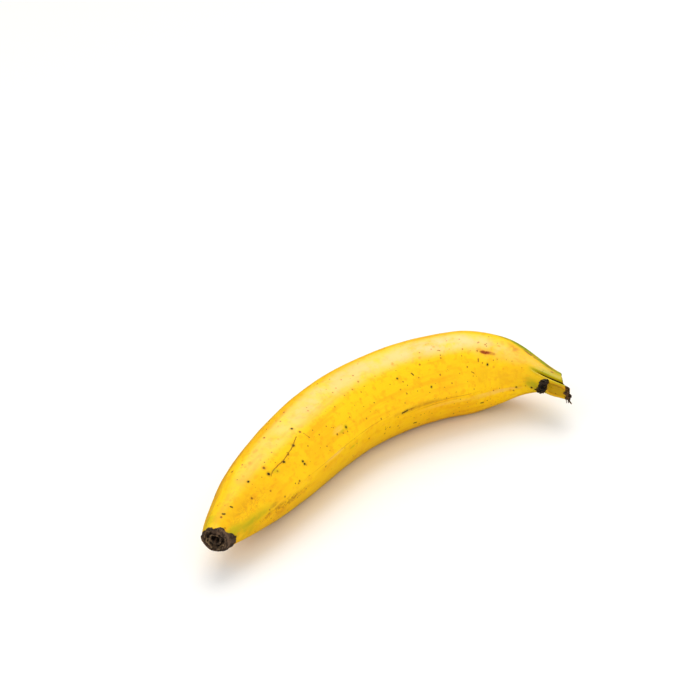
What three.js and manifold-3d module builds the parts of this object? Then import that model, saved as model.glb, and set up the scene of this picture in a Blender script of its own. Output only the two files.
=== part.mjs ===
// A ripe plantain, as pulled from its bunch, lying on its side. Millimetres, +Z up.
// It is one grown piece, so it is one solid. The origin is under the middle of its
// bounding box, on the surface that it lies on, and +X runs along its longest extent,
// from the blossom end to the stalk.

import * as THREE from 'three';
import Module from 'manifold-3d';

const { degToRad, smoothstep, lerp, clamp, euclideanModulo } = THREE.MathUtils;

// Along the fruit: every place is a length on the middle line, from 0 at the blossom end
const BLOSSOM_FACE = -3.2;      // face of the dried blossom scar, past the zero
const SKIN_STARTS = 3.4;        // the scar's edge on the peel
const NECK_STARTS = 181;        // the body begins to narrow into the stalk
const NECK_ENDS = 241;
const SPLIT_STARTS = 225;       // the stalk is split lengthwise in two lobes from here
const SPLIT_OPENS_OVER = 12;
const TEAR_STARTS = 238;        // the stalk's torn face begins here, on the inner side
const OUTER_LOBE_END = 244.2;   // middle of the outer lobe's slanted break
const OUTER_LOBE_SLOPE = 1.1;   // it breaks shorter by this, for each mm to the outer side
const INNER_LOBE_END = 251;

// Around the fruit: degrees from the outer side of the bend (0), over the top (90) to
// the inner side (180) and the underside (270)
const RIDGES = [10, 72, 177, 238, 302];
const RIDGE_HALF_WIDTH = 17;
const RIDGE_HEIGHT = 0.055;     // as a share of the radius
const RIDGE_TURN_AT_TIP = -6;   // the ridges wind a little round the fruit at both ends
const TURN_AT_TIP_ENDS = 50;
const RIDGE_TURN_AT_NECK = -22;
const TURN_AT_NECK_RISE = [195, 235];
const SPLIT_NEAR = 119;
const SPLIT_FAR = 247;
const LOBE_BLEND = 6;           // the step between the lobes' ends takes twice this angle
const TEAR_FACES = 176;

// Radii and depths
const BELLY_RADIUS = 22.2;
const TIP_RADIUS = 7.15;
const TIP_RUN = 122;            // length over which the tip widens to the belly
const TIP_FULLNESS = 3;
const STALK_RADIUS = 6.4;
const SPLIT_DEPTH = 2.2;
const SPLIT_HALF_WIDTH = 7;     // degrees
const FAR_SPLIT_SHARE = 0.5;    // depth of the split on the far side
const TEAR_FROM = 4.9;          // from the middle line to the torn face, where it begins
const TEAR_TO = 4.3;            // and at the lobe's end
const TEAR_LIMIT = 0.3;         // cosine of the angle past which nothing is torn away
const LOBE_THICKNESS = 0.55;    // of the inner lobe past the outer one, as a share of the radius
const TAPER = 0.26;             // the inner lobe's underside narrows by this share
const TAPER_AT = 228;
const TAPER_HALF_WIDTH = 40;

// Fuller and slimmer spots: along, around, half length, half width in degrees, height
const SWELLS = [
  [14, 45, 12, 35, -1.2],
  [182, 62, 20, 30, -0.7],
  [208.5, 48, 11, 24, 1.3],
  [208, 222, 12, 32, 1.4],
  [233, 222, 6, 32, -0.9],
];

// The middle line lies in one plane and bends one way, in degrees a millimetre
const TIP_HEADING = 36;         // degrees between the chord and the line at the tip
const TIP_BEND = 0.66;          // extra, gone after TIP_BEND_RUN
const TIP_BEND_RUN = 25;
const BLOSSOM_BEND = 0.1;
const BELLY_BEND = 0.53;
const BELLY_BEND_RISE = [73, 109];
const NECK_BEND = 0.55;         // extra
const NECK_BEND_RISE = [163, 193];
const STRAIGHTENS = [222, 240]; // the stalk runs straight after this
const LINE_RUNS_ON = 10;        // past the stalk's end, for the fibres

// Resting pose: how far the plane of the bend leans when the fruit lies on its side
const LEAN_TO_INNER_SIDE = 4.34;
const LEAN_TO_STALK = 0.28;
const CONTACT_DEPTH = 0.5;      // depth of the flat spot where the belly touches

// Scar of dried tissue round the stalk's inner side, just before the torn face
const SCAR_ALONG = 236;
const SCAR_AROUND = [138, 200];
const SCAR_BLEND = 10;          // degrees over which it rises and falls
const SCAR_HALF_LENGTH = 2.3;
const SCAR_HEIGHT = 1.1;
const SCAR_STUB_RADIUS = 2.4;   // the scar's lower end stands out as a stub
const SCAR_STUB_TIP = 1.7;
const SCAR_STUB_REACH = 9.2;    // from the middle line to the stub's tip
const SCAR_STUB_ROOT = 6.2;     // length of the stub that is sunk in the stalk
const SCAR_STUB_SIDES = 10;

// Dried fibres that stand out of the inner lobe's end
const FIBRES = 6;
const FIBRES_AROUND = [140, 232];
const FIBRE_RADIUS = 0.75;
const FIBRE_TAPER = 0.35;
const FIBRE_LENGTH = 3.0;       // proud of the torn end
const FIBRE_SHORTEST = 0.5;     // as a share of that
const FIBRE_ROOT = 3.5;         // sunk into the stalk
const FIBRE_REACH = 3.1;        // from the middle line
const FIBRE_SPREAD = 1.1;
const FIBRE_SIDES = 5;

// Fineness of the solid
const SIDES = 45;
const BODY_STEP = 4.6;
const STALK_STEP = 2.2;
const LINE_STEP = 0.5;
const END_SHARES = [0.85, 0.66, 0.5, 0.25];

// The blossom scar's profile from its middle outwards: radius, then place along
const BLOSSOM_PROFILE = [
  [1.3, 1.6], [1.9, -0.6], [2.6, -1.9], [3.2, -1.6], [3.9, -0.3],
  [4.8, -1.5], [5.5, BLOSSOM_FACE], [6.2, -2.7], [6.8, -1.2],
];
const BLOSSOM_HOLE = 2.2;       // place along of the bottom of the hole in its middle

function bendAt(along) {
  const tip = TIP_BEND * (1 - smoothstep(along, 0, TIP_BEND_RUN));
  const body = lerp(BLOSSOM_BEND, BELLY_BEND, smoothstep(along, ...BELLY_BEND_RISE));
  const neck = NECK_BEND * smoothstep(along, ...NECK_BEND_RISE);
  return (tip + body + neck) * (1 - smoothstep(along, ...STRAIGHTENS));
}

// Walks the middle line once: each stop keeps its X, its Y and the line's heading
function traceMiddleLine() {
  const stops = [new THREE.Vector3(0, 0, TIP_HEADING)];
  for (let along = 0; along < INNER_LOBE_END + LINE_RUNS_ON; along += LINE_STEP) {
    const last = stops[stops.length - 1];
    const heading = last.z - bendAt(along) * LINE_STEP;
    const midway = degToRad((heading + last.z) / 2);
    const x = last.x + Math.cos(midway) * LINE_STEP;
    const y = last.y + Math.sin(midway) * LINE_STEP;
    stops.push(new THREE.Vector3(x, y, heading));
  }
  return stops;
}

const middleLine = traceMiddleLine();

// A place by its length along the middle line, its angle round it and its distance from it
function pointAt(along, around, radius) {
  const place = Math.max(along, 0) / LINE_STEP;
  const index = Math.min(Math.floor(place), middleLine.length - 2);
  const stop = middleLine[index].clone().lerp(middleLine[index + 1], place - index);
  const heading = degToRad(stop.z);
  const turn = degToRad(around);
  const forward = new THREE.Vector3(Math.cos(heading), Math.sin(heading), 0);
  const outer = new THREE.Vector3(-forward.y, forward.x, 0);
  const point = new THREE.Vector3(stop.x, stop.y, radius * Math.sin(turn));
  point.addScaledVector(forward, Math.min(along, 0));
  return point.addScaledVector(outer, radius * Math.cos(turn));
}

function bump(distance, halfWidth) {
  return Math.exp(-((distance / halfWidth) ** 2));
}

function degreesApart(a, b) {
  return euclideanModulo(a - b + 180, 360) - 180;
}

function bumpAround(around, centre, halfWidth) {
  return bump(degreesApart(around, centre), halfWidth);
}

// The radius without the ridges: a blunt tip, a full belly and a long neck
function radiusAt(along) {
  const share = clamp(along / TIP_RUN, 0, 1);
  const body = lerp(TIP_RADIUS, BELLY_RADIUS, 1 - (1 - share) ** TIP_FULLNESS);
  return lerp(body, STALK_RADIUS, smoothstep(along, NECK_STARTS, NECK_ENDS));
}

// Five blunt ridges run the length of the fruit, with flatter faces between them
function ridgeFactor(along, around) {
  const atTip = RIDGE_TURN_AT_TIP * (1 - smoothstep(along, 0, TURN_AT_TIP_ENDS));
  const turn = atTip + RIDGE_TURN_AT_NECK * smoothstep(along, ...TURN_AT_NECK_RISE);
  const mean = RIDGES.length * RIDGE_HALF_WIDTH * Math.sqrt(Math.PI) / 360;
  let ridges = 0;
  for (const ridge of RIDGES) ridges += bumpAround(around, ridge + turn, RIDGE_HALF_WIDTH);
  return 1 + RIDGE_HEIGHT * (ridges - mean);
}

function swellHeight(along, around) {
  let lift = 0;
  for (const [middle, angle, halfLength, halfWidth, height] of SWELLS) {
    lift += height * bump(along - middle, halfLength) * bumpAround(around, angle, halfWidth);
  }
  return lift;
}

// Rises from 0 to 1 round one angle and falls to 0 again round another
function spanAround(around, from, to, halfBlend) {
  const past = euclideanModulo(around, 360);
  const rise = smoothstep(past, from - halfBlend, from + halfBlend);
  return rise * (1 - smoothstep(past, to - halfBlend, to + halfBlend));
}

function innerLobe(around) {
  return spanAround(around, SPLIT_NEAR, SPLIT_FAR, LOBE_BLEND);
}

// The lobes end at different lengths, the outer one in a slanted break
function lobeEnd(around) {
  const outer = OUTER_LOBE_END - OUTER_LOBE_SLOPE * STALK_RADIUS * Math.cos(degToRad(around));
  return lerp(outer, INNER_LOBE_END, innerLobe(around));
}

// Draws the stalk's columns in or out to the lobes' own ends
function stretchedAlong(along, around) {
  if (along <= SPLIT_STARTS) return along;
  const share = (along - SPLIT_STARTS) / (INNER_LOBE_END - SPLIT_STARTS);
  return lerp(SPLIT_STARTS, lobeEnd(around), share);
}

// The splits are grooves down both sides of the stalk
function splitDepth(along, around) {
  const opened = smoothstep(along, SPLIT_STARTS, SPLIT_STARTS + SPLIT_OPENS_OVER);
  const near = bumpAround(around, SPLIT_NEAR, SPLIT_HALF_WIDTH);
  const far = FAR_SPLIT_SHARE * bumpAround(around, SPLIT_FAR, SPLIT_HALF_WIDTH);
  return SPLIT_DEPTH * opened * (near + far);
}

function scarHeight(along, around) {
  const [from, to] = SCAR_AROUND;
  return SCAR_HEIGHT * bump(along - SCAR_ALONG, SCAR_HALF_LENGTH) * spanAround(around, from, to, SCAR_BLEND);
}

// The torn face is flat, so it cuts off what reaches past its plane
function tornTo(along, around, radius) {
  const facing = Math.cos(degToRad(degreesApart(around, TEAR_FACES)));
  if (along < TEAR_STARTS || facing < TEAR_LIMIT) return radius;
  const plane = lerp(TEAR_FROM, TEAR_TO, smoothstep(along, TEAR_STARTS, INNER_LOBE_END));
  return Math.min(radius, plane / facing);
}

function skinRadius(along, around) {
  const grown = radiusAt(along) * ridgeFactor(along, around) + swellHeight(along, around);
  const narrowing = smoothstep(along, TEAR_STARTS, INNER_LOBE_END);
  const kept = 1 - TAPER * narrowing * bumpAround(around, TAPER_AT, TAPER_HALF_WIDTH);
  return tornTo(along, around, grown * kept + scarHeight(along, around) - splitDepth(along, around));
}

function skinPoint(along, around) {
  const place = stretchedAlong(along, around);
  return pointAt(place, around, skinRadius(place, around));
}

function blossomPoint(along, around, radius) {
  return pointAt(along, around, radius * lerp(1, ridgeFactor(along, around), radius / TIP_RADIUS));
}

// The stalk's end: the outer lobe's break is plain, and the inner lobe stands past it as a thick strip
function stalkEndPoint(share, around) {
  const rim = lobeEnd(around);
  const reachesRim = 1 - LOBE_THICKNESS * innerLobe(around);
  const along = lerp(OUTER_LOBE_END, rim, Math.min(share / reachesRim, 1));
  return pointAt(along, around, share * skinRadius(rim, around));
}

function spread(from, to, step) {
  const count = Math.round((to - from) / step);
  return Array.from({ length: count + 1 }, (_, index) => lerp(from, to, index / count));
}

// Rings of points from the middle of the blossom scar to the middle of the stalk's end
function fruitRings() {
  const columns = Array.from({ length: SIDES }, (_, index) => (SPLIT_NEAR + index * 360 / SIDES) % 360);
  const ringOf = (place) => columns.map(place);
  const body = spread(SKIN_STARTS, SPLIT_STARTS, BODY_STEP);
  const stalk = spread(SPLIT_STARTS, INNER_LOBE_END, STALK_STEP).slice(1);
  return [
    ...BLOSSOM_PROFILE.map(([radius, along]) => ringOf((around) => blossomPoint(along, around, radius))),
    ...[0, ...body, ...stalk].map((along) => ringOf((around) => skinPoint(along, around))),
    ...END_SHARES.map((share) => ringOf((around) => stalkEndPoint(share, around))),
  ];
}

// Joins the rings and closes both ends on a middle point, all faces outwards
function closedMesh(rings, start, end) {
  const points = [start, ...rings.flat(), end];
  const triangles = [];
  const at = (ring, side) => 1 + ring * SIDES + (side % SIDES);
  const lastRing = rings.length - 1;
  for (let side = 0; side < SIDES; side += 1) {
    triangles.push([0, at(0, side + 1), at(0, side)]);
    for (let ring = 0; ring < lastRing; ring += 1) {
      triangles.push([at(ring, side), at(ring, side + 1), at(ring + 1, side + 1)]);
      triangles.push([at(ring, side), at(ring + 1, side + 1), at(ring + 1, side)]);
    }
    triangles.push([points.length - 1, at(lastRing, side), at(lastRing, side + 1)]);
  }
  return { points, triangles };
}

const wasm = await Module();
wasm.setup();

function solidFrom({ points, triangles }) {
  return new wasm.Manifold(new wasm.Mesh({
    numProp: 3,
    vertProperties: new Float32Array(points.flatMap((point) => point.toArray())),
    triVerts: new Uint32Array(triangles.flat()),
  }));
}

// A cone cut short between two points, for the stub and the fibres
function taperedPeg(from, to, fromRadius, toRadius, sides) {
  const axis = to.clone().sub(from).normalize();
  const across = new THREE.Vector3(0, 0, 1).cross(axis).normalize();
  const over = axis.clone().cross(across);
  const ringAt = (centre, radius) => Array.from({ length: sides }, (_, index) => {
    const turn = index * 2 * Math.PI / sides;
    const point = centre.clone().addScaledVector(across, radius * Math.cos(turn));
    return point.addScaledVector(over, radius * Math.sin(turn));
  });
  const points = [from, ...ringAt(from, fromRadius), ...ringAt(to, toRadius), to];
  const triangles = [];
  for (let side = 0; side < sides; side += 1) {
    const next = (side + 1) % sides;
    triangles.push([0, 1 + next, 1 + side]);
    triangles.push([1 + side, 1 + next, 1 + sides + next]);
    triangles.push([1 + side, 1 + sides + next, 1 + sides + side]);
    triangles.push([points.length - 1, 1 + sides + side, 1 + sides + next]);
  }
  return solidFrom({ points, triangles });
}

// The stub of dried tissue at the scar's lower end, in the corner under the neck
function scarStub() {
  const around = SCAR_AROUND[1];
  const root = pointAt(SCAR_ALONG, around, SCAR_STUB_REACH - SCAR_STUB_ROOT);
  const tip = pointAt(SCAR_ALONG, around, SCAR_STUB_REACH);
  return taperedPeg(root, tip, SCAR_STUB_RADIUS, SCAR_STUB_TIP, SCAR_STUB_SIDES);
}

// Dried fibres fan round the inner lobe's end, with lengths and spread by a fixed rule
function stalkFibre(index) {
  const around = lerp(...FIBRES_AROUND, index / (FIBRES - 1));
  const outwards = FIBRE_SPREAD * ((index * 5) % 4) / 3;
  const length = FIBRE_LENGTH * lerp(FIBRE_SHORTEST, 1, ((index * 3) % 5) / 4);
  const root = pointAt(INNER_LOBE_END - FIBRE_ROOT, around, FIBRE_REACH);
  const tip = pointAt(INNER_LOBE_END + length, around, FIBRE_REACH + outwards);
  return taperedPeg(root, tip, FIBRE_RADIUS, FIBRE_RADIUS * FIBRE_TAPER, FIBRE_SIDES);
}

// Lays the fruit on its side and flattens the spot where it touches
function layDown(points) {
  const turn = new THREE.Euler(degToRad(LEAN_TO_INNER_SIDE), degToRad(-LEAN_TO_STALK), 0);
  for (const point of points) point.applyEuler(turn);
  const lowest = Math.min(...points.map((point) => point.z));
  for (const point of points) point.z = Math.max(point.z - lowest - CONTACT_DEPTH, 0);
}

function plantainSolid() {
  const start = pointAt(BLOSSOM_HOLE, 0, 0);
  const end = pointAt(OUTER_LOBE_END, 0, 0);
  let solid = solidFrom(closedMesh(fruitRings(), start, end)).add(scarStub());
  for (let index = 0; index < FIBRES; index += 1) solid = solid.add(stalkFibre(index));
  return solid.getMesh();
}

function plantainGeometry() {
  const mesh = plantainSolid();
  const points = [];
  for (let index = 0; index < mesh.vertProperties.length; index += mesh.numProp) {
    points.push(new THREE.Vector3().fromArray(mesh.vertProperties, index));
  }
  layDown(points);
  const geometry = new THREE.BufferGeometry().setFromPoints(points);
  geometry.setIndex(Array.from(mesh.triVerts));
  geometry.computeVertexNormals();
  geometry.computeBoundingBox();
  return geometry;
}

const peel = new THREE.MeshStandardMaterial({ color: '#f4bf2a', roughness: 0.45, metalness: 0 });
const plantain = new THREE.Mesh(plantainGeometry(), peel);
plantain.name = 'plantain';
const middle = plantain.geometry.boundingBox.getCenter(new THREE.Vector3());
plantain.position.set(-middle.x, -middle.y, 0);

const fruit = new THREE.Group();
fruit.add(plantain);

export default fruit;
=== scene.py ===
"""A ripe plantain lying on its side on a pale studio floor.

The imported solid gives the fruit's place and size. Everything that grew along the fruit is modelled
straight first, with its length along +X, and is then bent onto the fruit's middle line. Lengths are
in millimetres while a piece is straight, and in metres once it is bent and laid down. A place on the
fruit is its length along the middle line and its angle round it, in degrees: 0 on the outer side of
the bend, 90 on top, 180 on the inner side and 270 underneath.
"""

import logging
import math
import random
from collections.abc import Callable, Iterable, Sequence
from dataclasses import dataclass, field
from enum import Enum

import bpy
import numpy as np
from mathutils import Euler, Matrix, Vector, noise


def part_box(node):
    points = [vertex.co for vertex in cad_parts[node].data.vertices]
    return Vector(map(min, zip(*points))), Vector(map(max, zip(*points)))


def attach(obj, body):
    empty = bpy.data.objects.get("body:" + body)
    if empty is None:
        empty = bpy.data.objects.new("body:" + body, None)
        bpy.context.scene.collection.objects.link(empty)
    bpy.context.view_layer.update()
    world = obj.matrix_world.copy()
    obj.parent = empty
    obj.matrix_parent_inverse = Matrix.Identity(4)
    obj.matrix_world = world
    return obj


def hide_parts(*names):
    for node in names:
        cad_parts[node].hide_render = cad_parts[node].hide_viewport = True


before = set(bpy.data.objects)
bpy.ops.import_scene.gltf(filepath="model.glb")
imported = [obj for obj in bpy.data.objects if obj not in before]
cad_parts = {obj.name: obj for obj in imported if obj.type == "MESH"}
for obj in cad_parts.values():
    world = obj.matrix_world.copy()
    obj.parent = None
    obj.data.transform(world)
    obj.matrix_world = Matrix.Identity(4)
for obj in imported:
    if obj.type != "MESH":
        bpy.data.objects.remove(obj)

LOG = logging.getLogger("plantain")
MILLIMETRE = 0.001
NODE = "plantain"

# A colour Mix node's sockets, by number because the node's other types share their names
MIX_COVER, MIX_BELOW, MIX_ABOVE, MIX_RESULT = 0, 6, 7, 2


class Pattern(Enum):
    """Each kind of unevenness, with a number that keeps its noise apart from the others'."""

    SWELLING = 1
    WAVINESS = 2
    STALK_FIBRE = 3
    RAGGED_END = 4
    SCAR_TEETH = 5
    SCAR_LUMPS = 6
    SCAR_STREAKS = 7
    NECK_REACH = 8
    NECK_EDGE = 9


class Layer(Enum):
    """What each vertex of the fruit carries for the finishes."""

    GROWN = "grown"      # its place on the straight fruit, in millimetres
    CLEFT = "cleft"      # 1 in the depth of the stalk's split
    TORN = "torn"        # 1 on the flat torn face of the stalk
    DRIED = "dried"      # 1 on the stalk's dried ends


def smoothstep(low: float, high: float, value: np.ndarray) -> np.ndarray:
    """Rises smoothly from 0 at low to 1 at high.

    Args:
        low: value where the rise begins.
        high: value where it ends.
        value: numbers to place on the rise.

    Returns:
        The height of the rise at each number.
    """
    share = np.clip((np.asarray(value, float) - low) / (high - low), 0.0, 1.0)
    return share * share * (3.0 - 2.0 * share)


def between(start: np.ndarray, end: np.ndarray, share: np.ndarray) -> np.ndarray:
    """The value at a share of the way from start to end."""
    return start + (end - start) * share


def degrees_apart(angle: np.ndarray, other: np.ndarray) -> np.ndarray:
    """Signed turn from other to angle, between -180 and 180 degrees."""
    return (np.asarray(angle, float) - other + 180.0) % 360.0 - 180.0


def bump(distance: np.ndarray, half_width: float) -> np.ndarray:
    """A smooth bump of height 1 round a distance of zero."""
    return np.exp(-((distance / half_width) ** 2))


def unevenness(places: np.ndarray, size: float, octaves: int, pattern: Pattern) -> np.ndarray:
    """Smooth, repeatable unevenness between about -1 and 1.

    Args:
        places: points in millimetres.
        size: size of the largest unevenness, in millimetres.
        octaves: number of layers, each finer than the last.
        pattern: the kind of unevenness, so that no two are alike.

    Returns:
        One number for each point.
    """
    roughness = 0.6
    lacunarity = 2.0
    step = (17.3, 5.1, 9.7)      # from one pattern to the next
    away = Vector([pattern.value * part for part in step])
    scaled = places / size
    return np.array([noise.fractal(Vector(point) + away, roughness, lacunarity, octaves) for point in scaled])


def linear_colour(code: str) -> tuple[float, float, float, float]:
    """Turns an sRGB hex colour to the linear values that the shaders use.

    Args:
        code: six hex digits after a #.

    Returns:
        Linear red, green and blue, and an alpha of 1.
    """
    parts = [int(code[place : place + 2], 16) / 255 for place in (1, 3, 5)]
    linear = [part / 12.92 if part <= 0.04045 else ((part + 0.055) / 1.055) ** 2.4 for part in parts]
    return (*linear, 1.0)


def add_node(
    tree: bpy.types.NodeTree, kind: str, inputs: dict | None = None, **settings: object
) -> bpy.types.Node:
    """Adds a shader node, sets it up and links it.

    Args:
        tree: the material's node tree.
        kind: the node's type, without ShaderNode in front.
        inputs: for each input, by name or number, a value or a socket to link from.
        settings: the node's own properties.

    Returns:
        The new node.
    """
    node = tree.nodes.new("ShaderNode" + kind)
    for name, value in settings.items():
        setattr(node, name, value)
    for key, value in (inputs or {}).items():
        if isinstance(value, bpy.types.NodeSocket):
            tree.links.new(value, node.inputs[key])
        else:
            node.inputs[key].default_value = value
    return node


@dataclass(frozen=True)
class Swell:
    """A spot that is fuller than the round form, or slimmer where its height is negative."""

    along: float
    around: float
    half_length: float
    half_width: float
    height: float

    def lift(self, along: np.ndarray, around: np.ndarray) -> np.ndarray:
        """How far it lifts the skin, in millimetres."""
        lengthwise = bump(along - self.along, self.half_length)
        return self.height * lengthwise * bump(degrees_apart(around, self.around), self.half_width)


@dataclass
class FruitForm:
    """The fruit's shape by formula, in millimetres and degrees."""

    length: float = 252.0
    neck: tuple[float, float] = (181.0, 241.0)
    belly_radius: float = 22.2
    tip_radius: float = 7.15
    tip_run: float = 122.0
    tip_fullness: float = 3.0
    stalk_radius: float = 6.4
    ridges: tuple[float, ...] = (10.0, 72.0, 177.0, 238.0, 302.0)
    ridge_half_width: float = 17.0
    ridge_height: float = 0.055
    turn_at_tip: float = -6.0
    turn_at_tip_ends: float = 50.0
    turn_at_neck: float = -22.0
    turn_at_neck_rise: tuple[float, float] = (195.0, 235.0)
    tip_heading: float = 36.0
    tip_bend: float = 0.66
    tip_bend_run: float = 25.0
    blossom_bend: float = 0.1
    belly_bend: float = 0.53
    belly_bend_rise: tuple[float, float] = (73.0, 109.0)
    neck_bend: float = 0.55
    neck_bend_rise: tuple[float, float] = (163.0, 193.0)
    straightens: tuple[float, float] = (222.0, 240.0)
    lean_to_inner_side: float = 4.34
    lean_to_stalk: float = 0.28
    contact_depth: float = 0.5
    crease_at: float = 176.0
    crease_runs: tuple[float, float] = (50.0, 205.0)
    crease_fades_over: float = 25.0
    crease_half_width: float = 5.0
    crease_height: float = 0.45
    swells: tuple[Swell, ...] = (
        Swell(14.0, 45.0, 12.0, 35.0, -1.2),
        Swell(182.0, 62.0, 20.0, 30.0, -0.7),
        Swell(208.5, 48.0, 11.0, 24.0, 1.3),
        Swell(208.0, 222.0, 12.0, 32.0, 1.4),
        Swell(233.0, 222.0, 6.0, 32.0, -0.9),
    )
    scar_rim: tuple[float, float] = (6.2, -2.7)
    line_step: float = 0.25
    measured_to: int = 225
    measured_turn: float = 4.0
    line: dict[str, np.ndarray] = field(default_factory=dict)
    place: Vector = field(default_factory=Vector)

    def __post_init__(self) -> None:
        """Walks the middle line once, in small steps."""
        beyond = 20.0
        along = np.arange(0.0, self.length + beyond, self.line_step)
        turn = self.tip_bend * (1 - smoothstep(0, self.tip_bend_run, along))
        turn += between(self.blossom_bend, self.belly_bend, smoothstep(*self.belly_bend_rise, along))
        turn += self.neck_bend * smoothstep(*self.neck_bend_rise, along)
        turn *= 1 - smoothstep(*self.straightens, along)
        heading = self.tip_heading - np.concatenate([[0], np.cumsum(turn * self.line_step)[:-1]])
        midway = np.radians(heading - turn * self.line_step / 2)
        self.line = {
            "along": along,
            "heading": np.radians(heading),
            "x": np.concatenate([[0], np.cumsum(np.cos(midway) * self.line_step)[:-1]]),
            "y": np.concatenate([[0], np.cumsum(np.sin(midway) * self.line_step)[:-1]]),
        }

    def radius(self, along: np.ndarray) -> np.ndarray:
        """Radius without the ridges: a blunt tip, a full belly and a long neck.

        Args:
            along: places along the fruit, in millimetres.

        Returns:
            The radius at each place, in millimetres.
        """
        share = np.clip(np.asarray(along, float) / self.tip_run, 0, 1)
        body = between(self.tip_radius, self.belly_radius, 1 - (1 - share) ** self.tip_fullness)
        return between(body, self.stalk_radius, smoothstep(*self.neck, along))

    def ridge_factor(self, along: np.ndarray, around: np.ndarray) -> np.ndarray:
        """The five blunt ridges and the flatter faces between them.

        Args:
            along: places along the fruit, in millimetres.
            around: angles round it, in degrees.

        Returns:
            What to multiply the radius by, round a mean of 1.
        """
        turn = self.turn_at_tip * (1 - smoothstep(0, self.turn_at_tip_ends, along))
        turn = turn + self.turn_at_neck * smoothstep(*self.turn_at_neck_rise, along)
        mean = len(self.ridges) * self.ridge_half_width * math.sqrt(math.pi) / 360
        turned = around - turn
        height = sum(bump(degrees_apart(turned, ridge), self.ridge_half_width) for ridge in self.ridges)
        return 1 + self.ridge_height * (height - mean)

    def lifts(self, along: np.ndarray, around: np.ndarray) -> np.ndarray:
        """What stands out from the ridged form: its swells and the lower ridge's crease.

        Args:
            along: places along the fruit, in millimetres.
            around: angles round it, in degrees.

        Returns:
            The lift of the skin at each point, in millimetres.
        """
        start, end = self.crease_runs
        runs = smoothstep(start, start + self.crease_fades_over, along)
        runs = runs * (1 - smoothstep(end - self.crease_fades_over, end, along))
        profile = bump(degrees_apart(around, self.crease_at), self.crease_half_width)
        return self.crease_height * runs * profile + sum(swell.lift(along, around) for swell in self.swells)

    def skin_radius(self, along: np.ndarray, around: np.ndarray) -> np.ndarray:
        """Radius of the skin with its ridges, swells and crease."""
        return self.radius(along) * self.ridge_factor(along, around) + self.lifts(along, around)

    def bend(self, straight: np.ndarray) -> np.ndarray:
        """Bends straight points onto the middle line and leans them as the fruit lies.

        Args:
            straight: points with their length along +X, in millimetres.

        Returns:
            The points, leaning but not yet in their place, in metres.
        """
        along = straight[:, 0]
        heading = np.interp(along, self.line["along"], self.line["heading"])
        before_start = np.minimum(along, 0)
        bent = np.stack([
            np.interp(along, self.line["along"], self.line["x"])
            + before_start * np.cos(heading) - straight[:, 1] * np.sin(heading),
            np.interp(along, self.line["along"], self.line["y"])
            + before_start * np.sin(heading) + straight[:, 1] * np.cos(heading),
            straight[:, 2],
        ], 1)
        lean = Euler((math.radians(self.lean_to_inner_side), math.radians(-self.lean_to_stalk), 0))
        return bent @ np.array(lean.to_matrix()).T * MILLIMETRE

    def find_place(self, low: Vector, high: Vector) -> None:
        """Works out where the fruit lies from its box in the frame.

        Args:
            low: lowest corner of the box, in metres.
            high: highest corner of the box, in metres.
        """
        turn = np.arange(0, 360, self.measured_turn)
        along, around = np.meshgrid(np.linspace(0, self.measured_to, self.measured_to + 1), turn)
        skin = self.bend(polar_points(along.ravel(), around.ravel(), self.skin_radius(along, around).ravel()))
        rim_radius, rim_along = self.scar_rim
        rim_reach = between(1, self.ridge_factor(rim_along, turn), rim_radius / self.tip_radius) * rim_radius
        rim = self.bend(polar_points(np.full_like(turn, rim_along), turn, rim_reach))
        contact = self.contact_depth * MILLIMETRE
        self.place = Vector((
            low.x - rim[:, 0].min(), high.y - skin[:, 1].max(), low.z - skin[:, 2].min() - contact
        ))

    def lay_down(self, straight: np.ndarray) -> np.ndarray:
        """Bends straight points, places them and flattens what would sink into the floor.

        Args:
            straight: points with their length along +X, in millimetres.

        Returns:
            The points where they lie in the frame, in metres.
        """
        placed = self.bend(straight) + np.array(self.place)
        placed[:, 2] = np.maximum(placed[:, 2], 0.0)
        return placed


def polar_points(along: np.ndarray, around: np.ndarray, reach: np.ndarray) -> np.ndarray:
    """Straight points from their length along, their angle in degrees and their distance out."""
    turn = np.radians(around)
    return np.stack([along, reach * np.cos(turn), reach * np.sin(turn)], 1)


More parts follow.
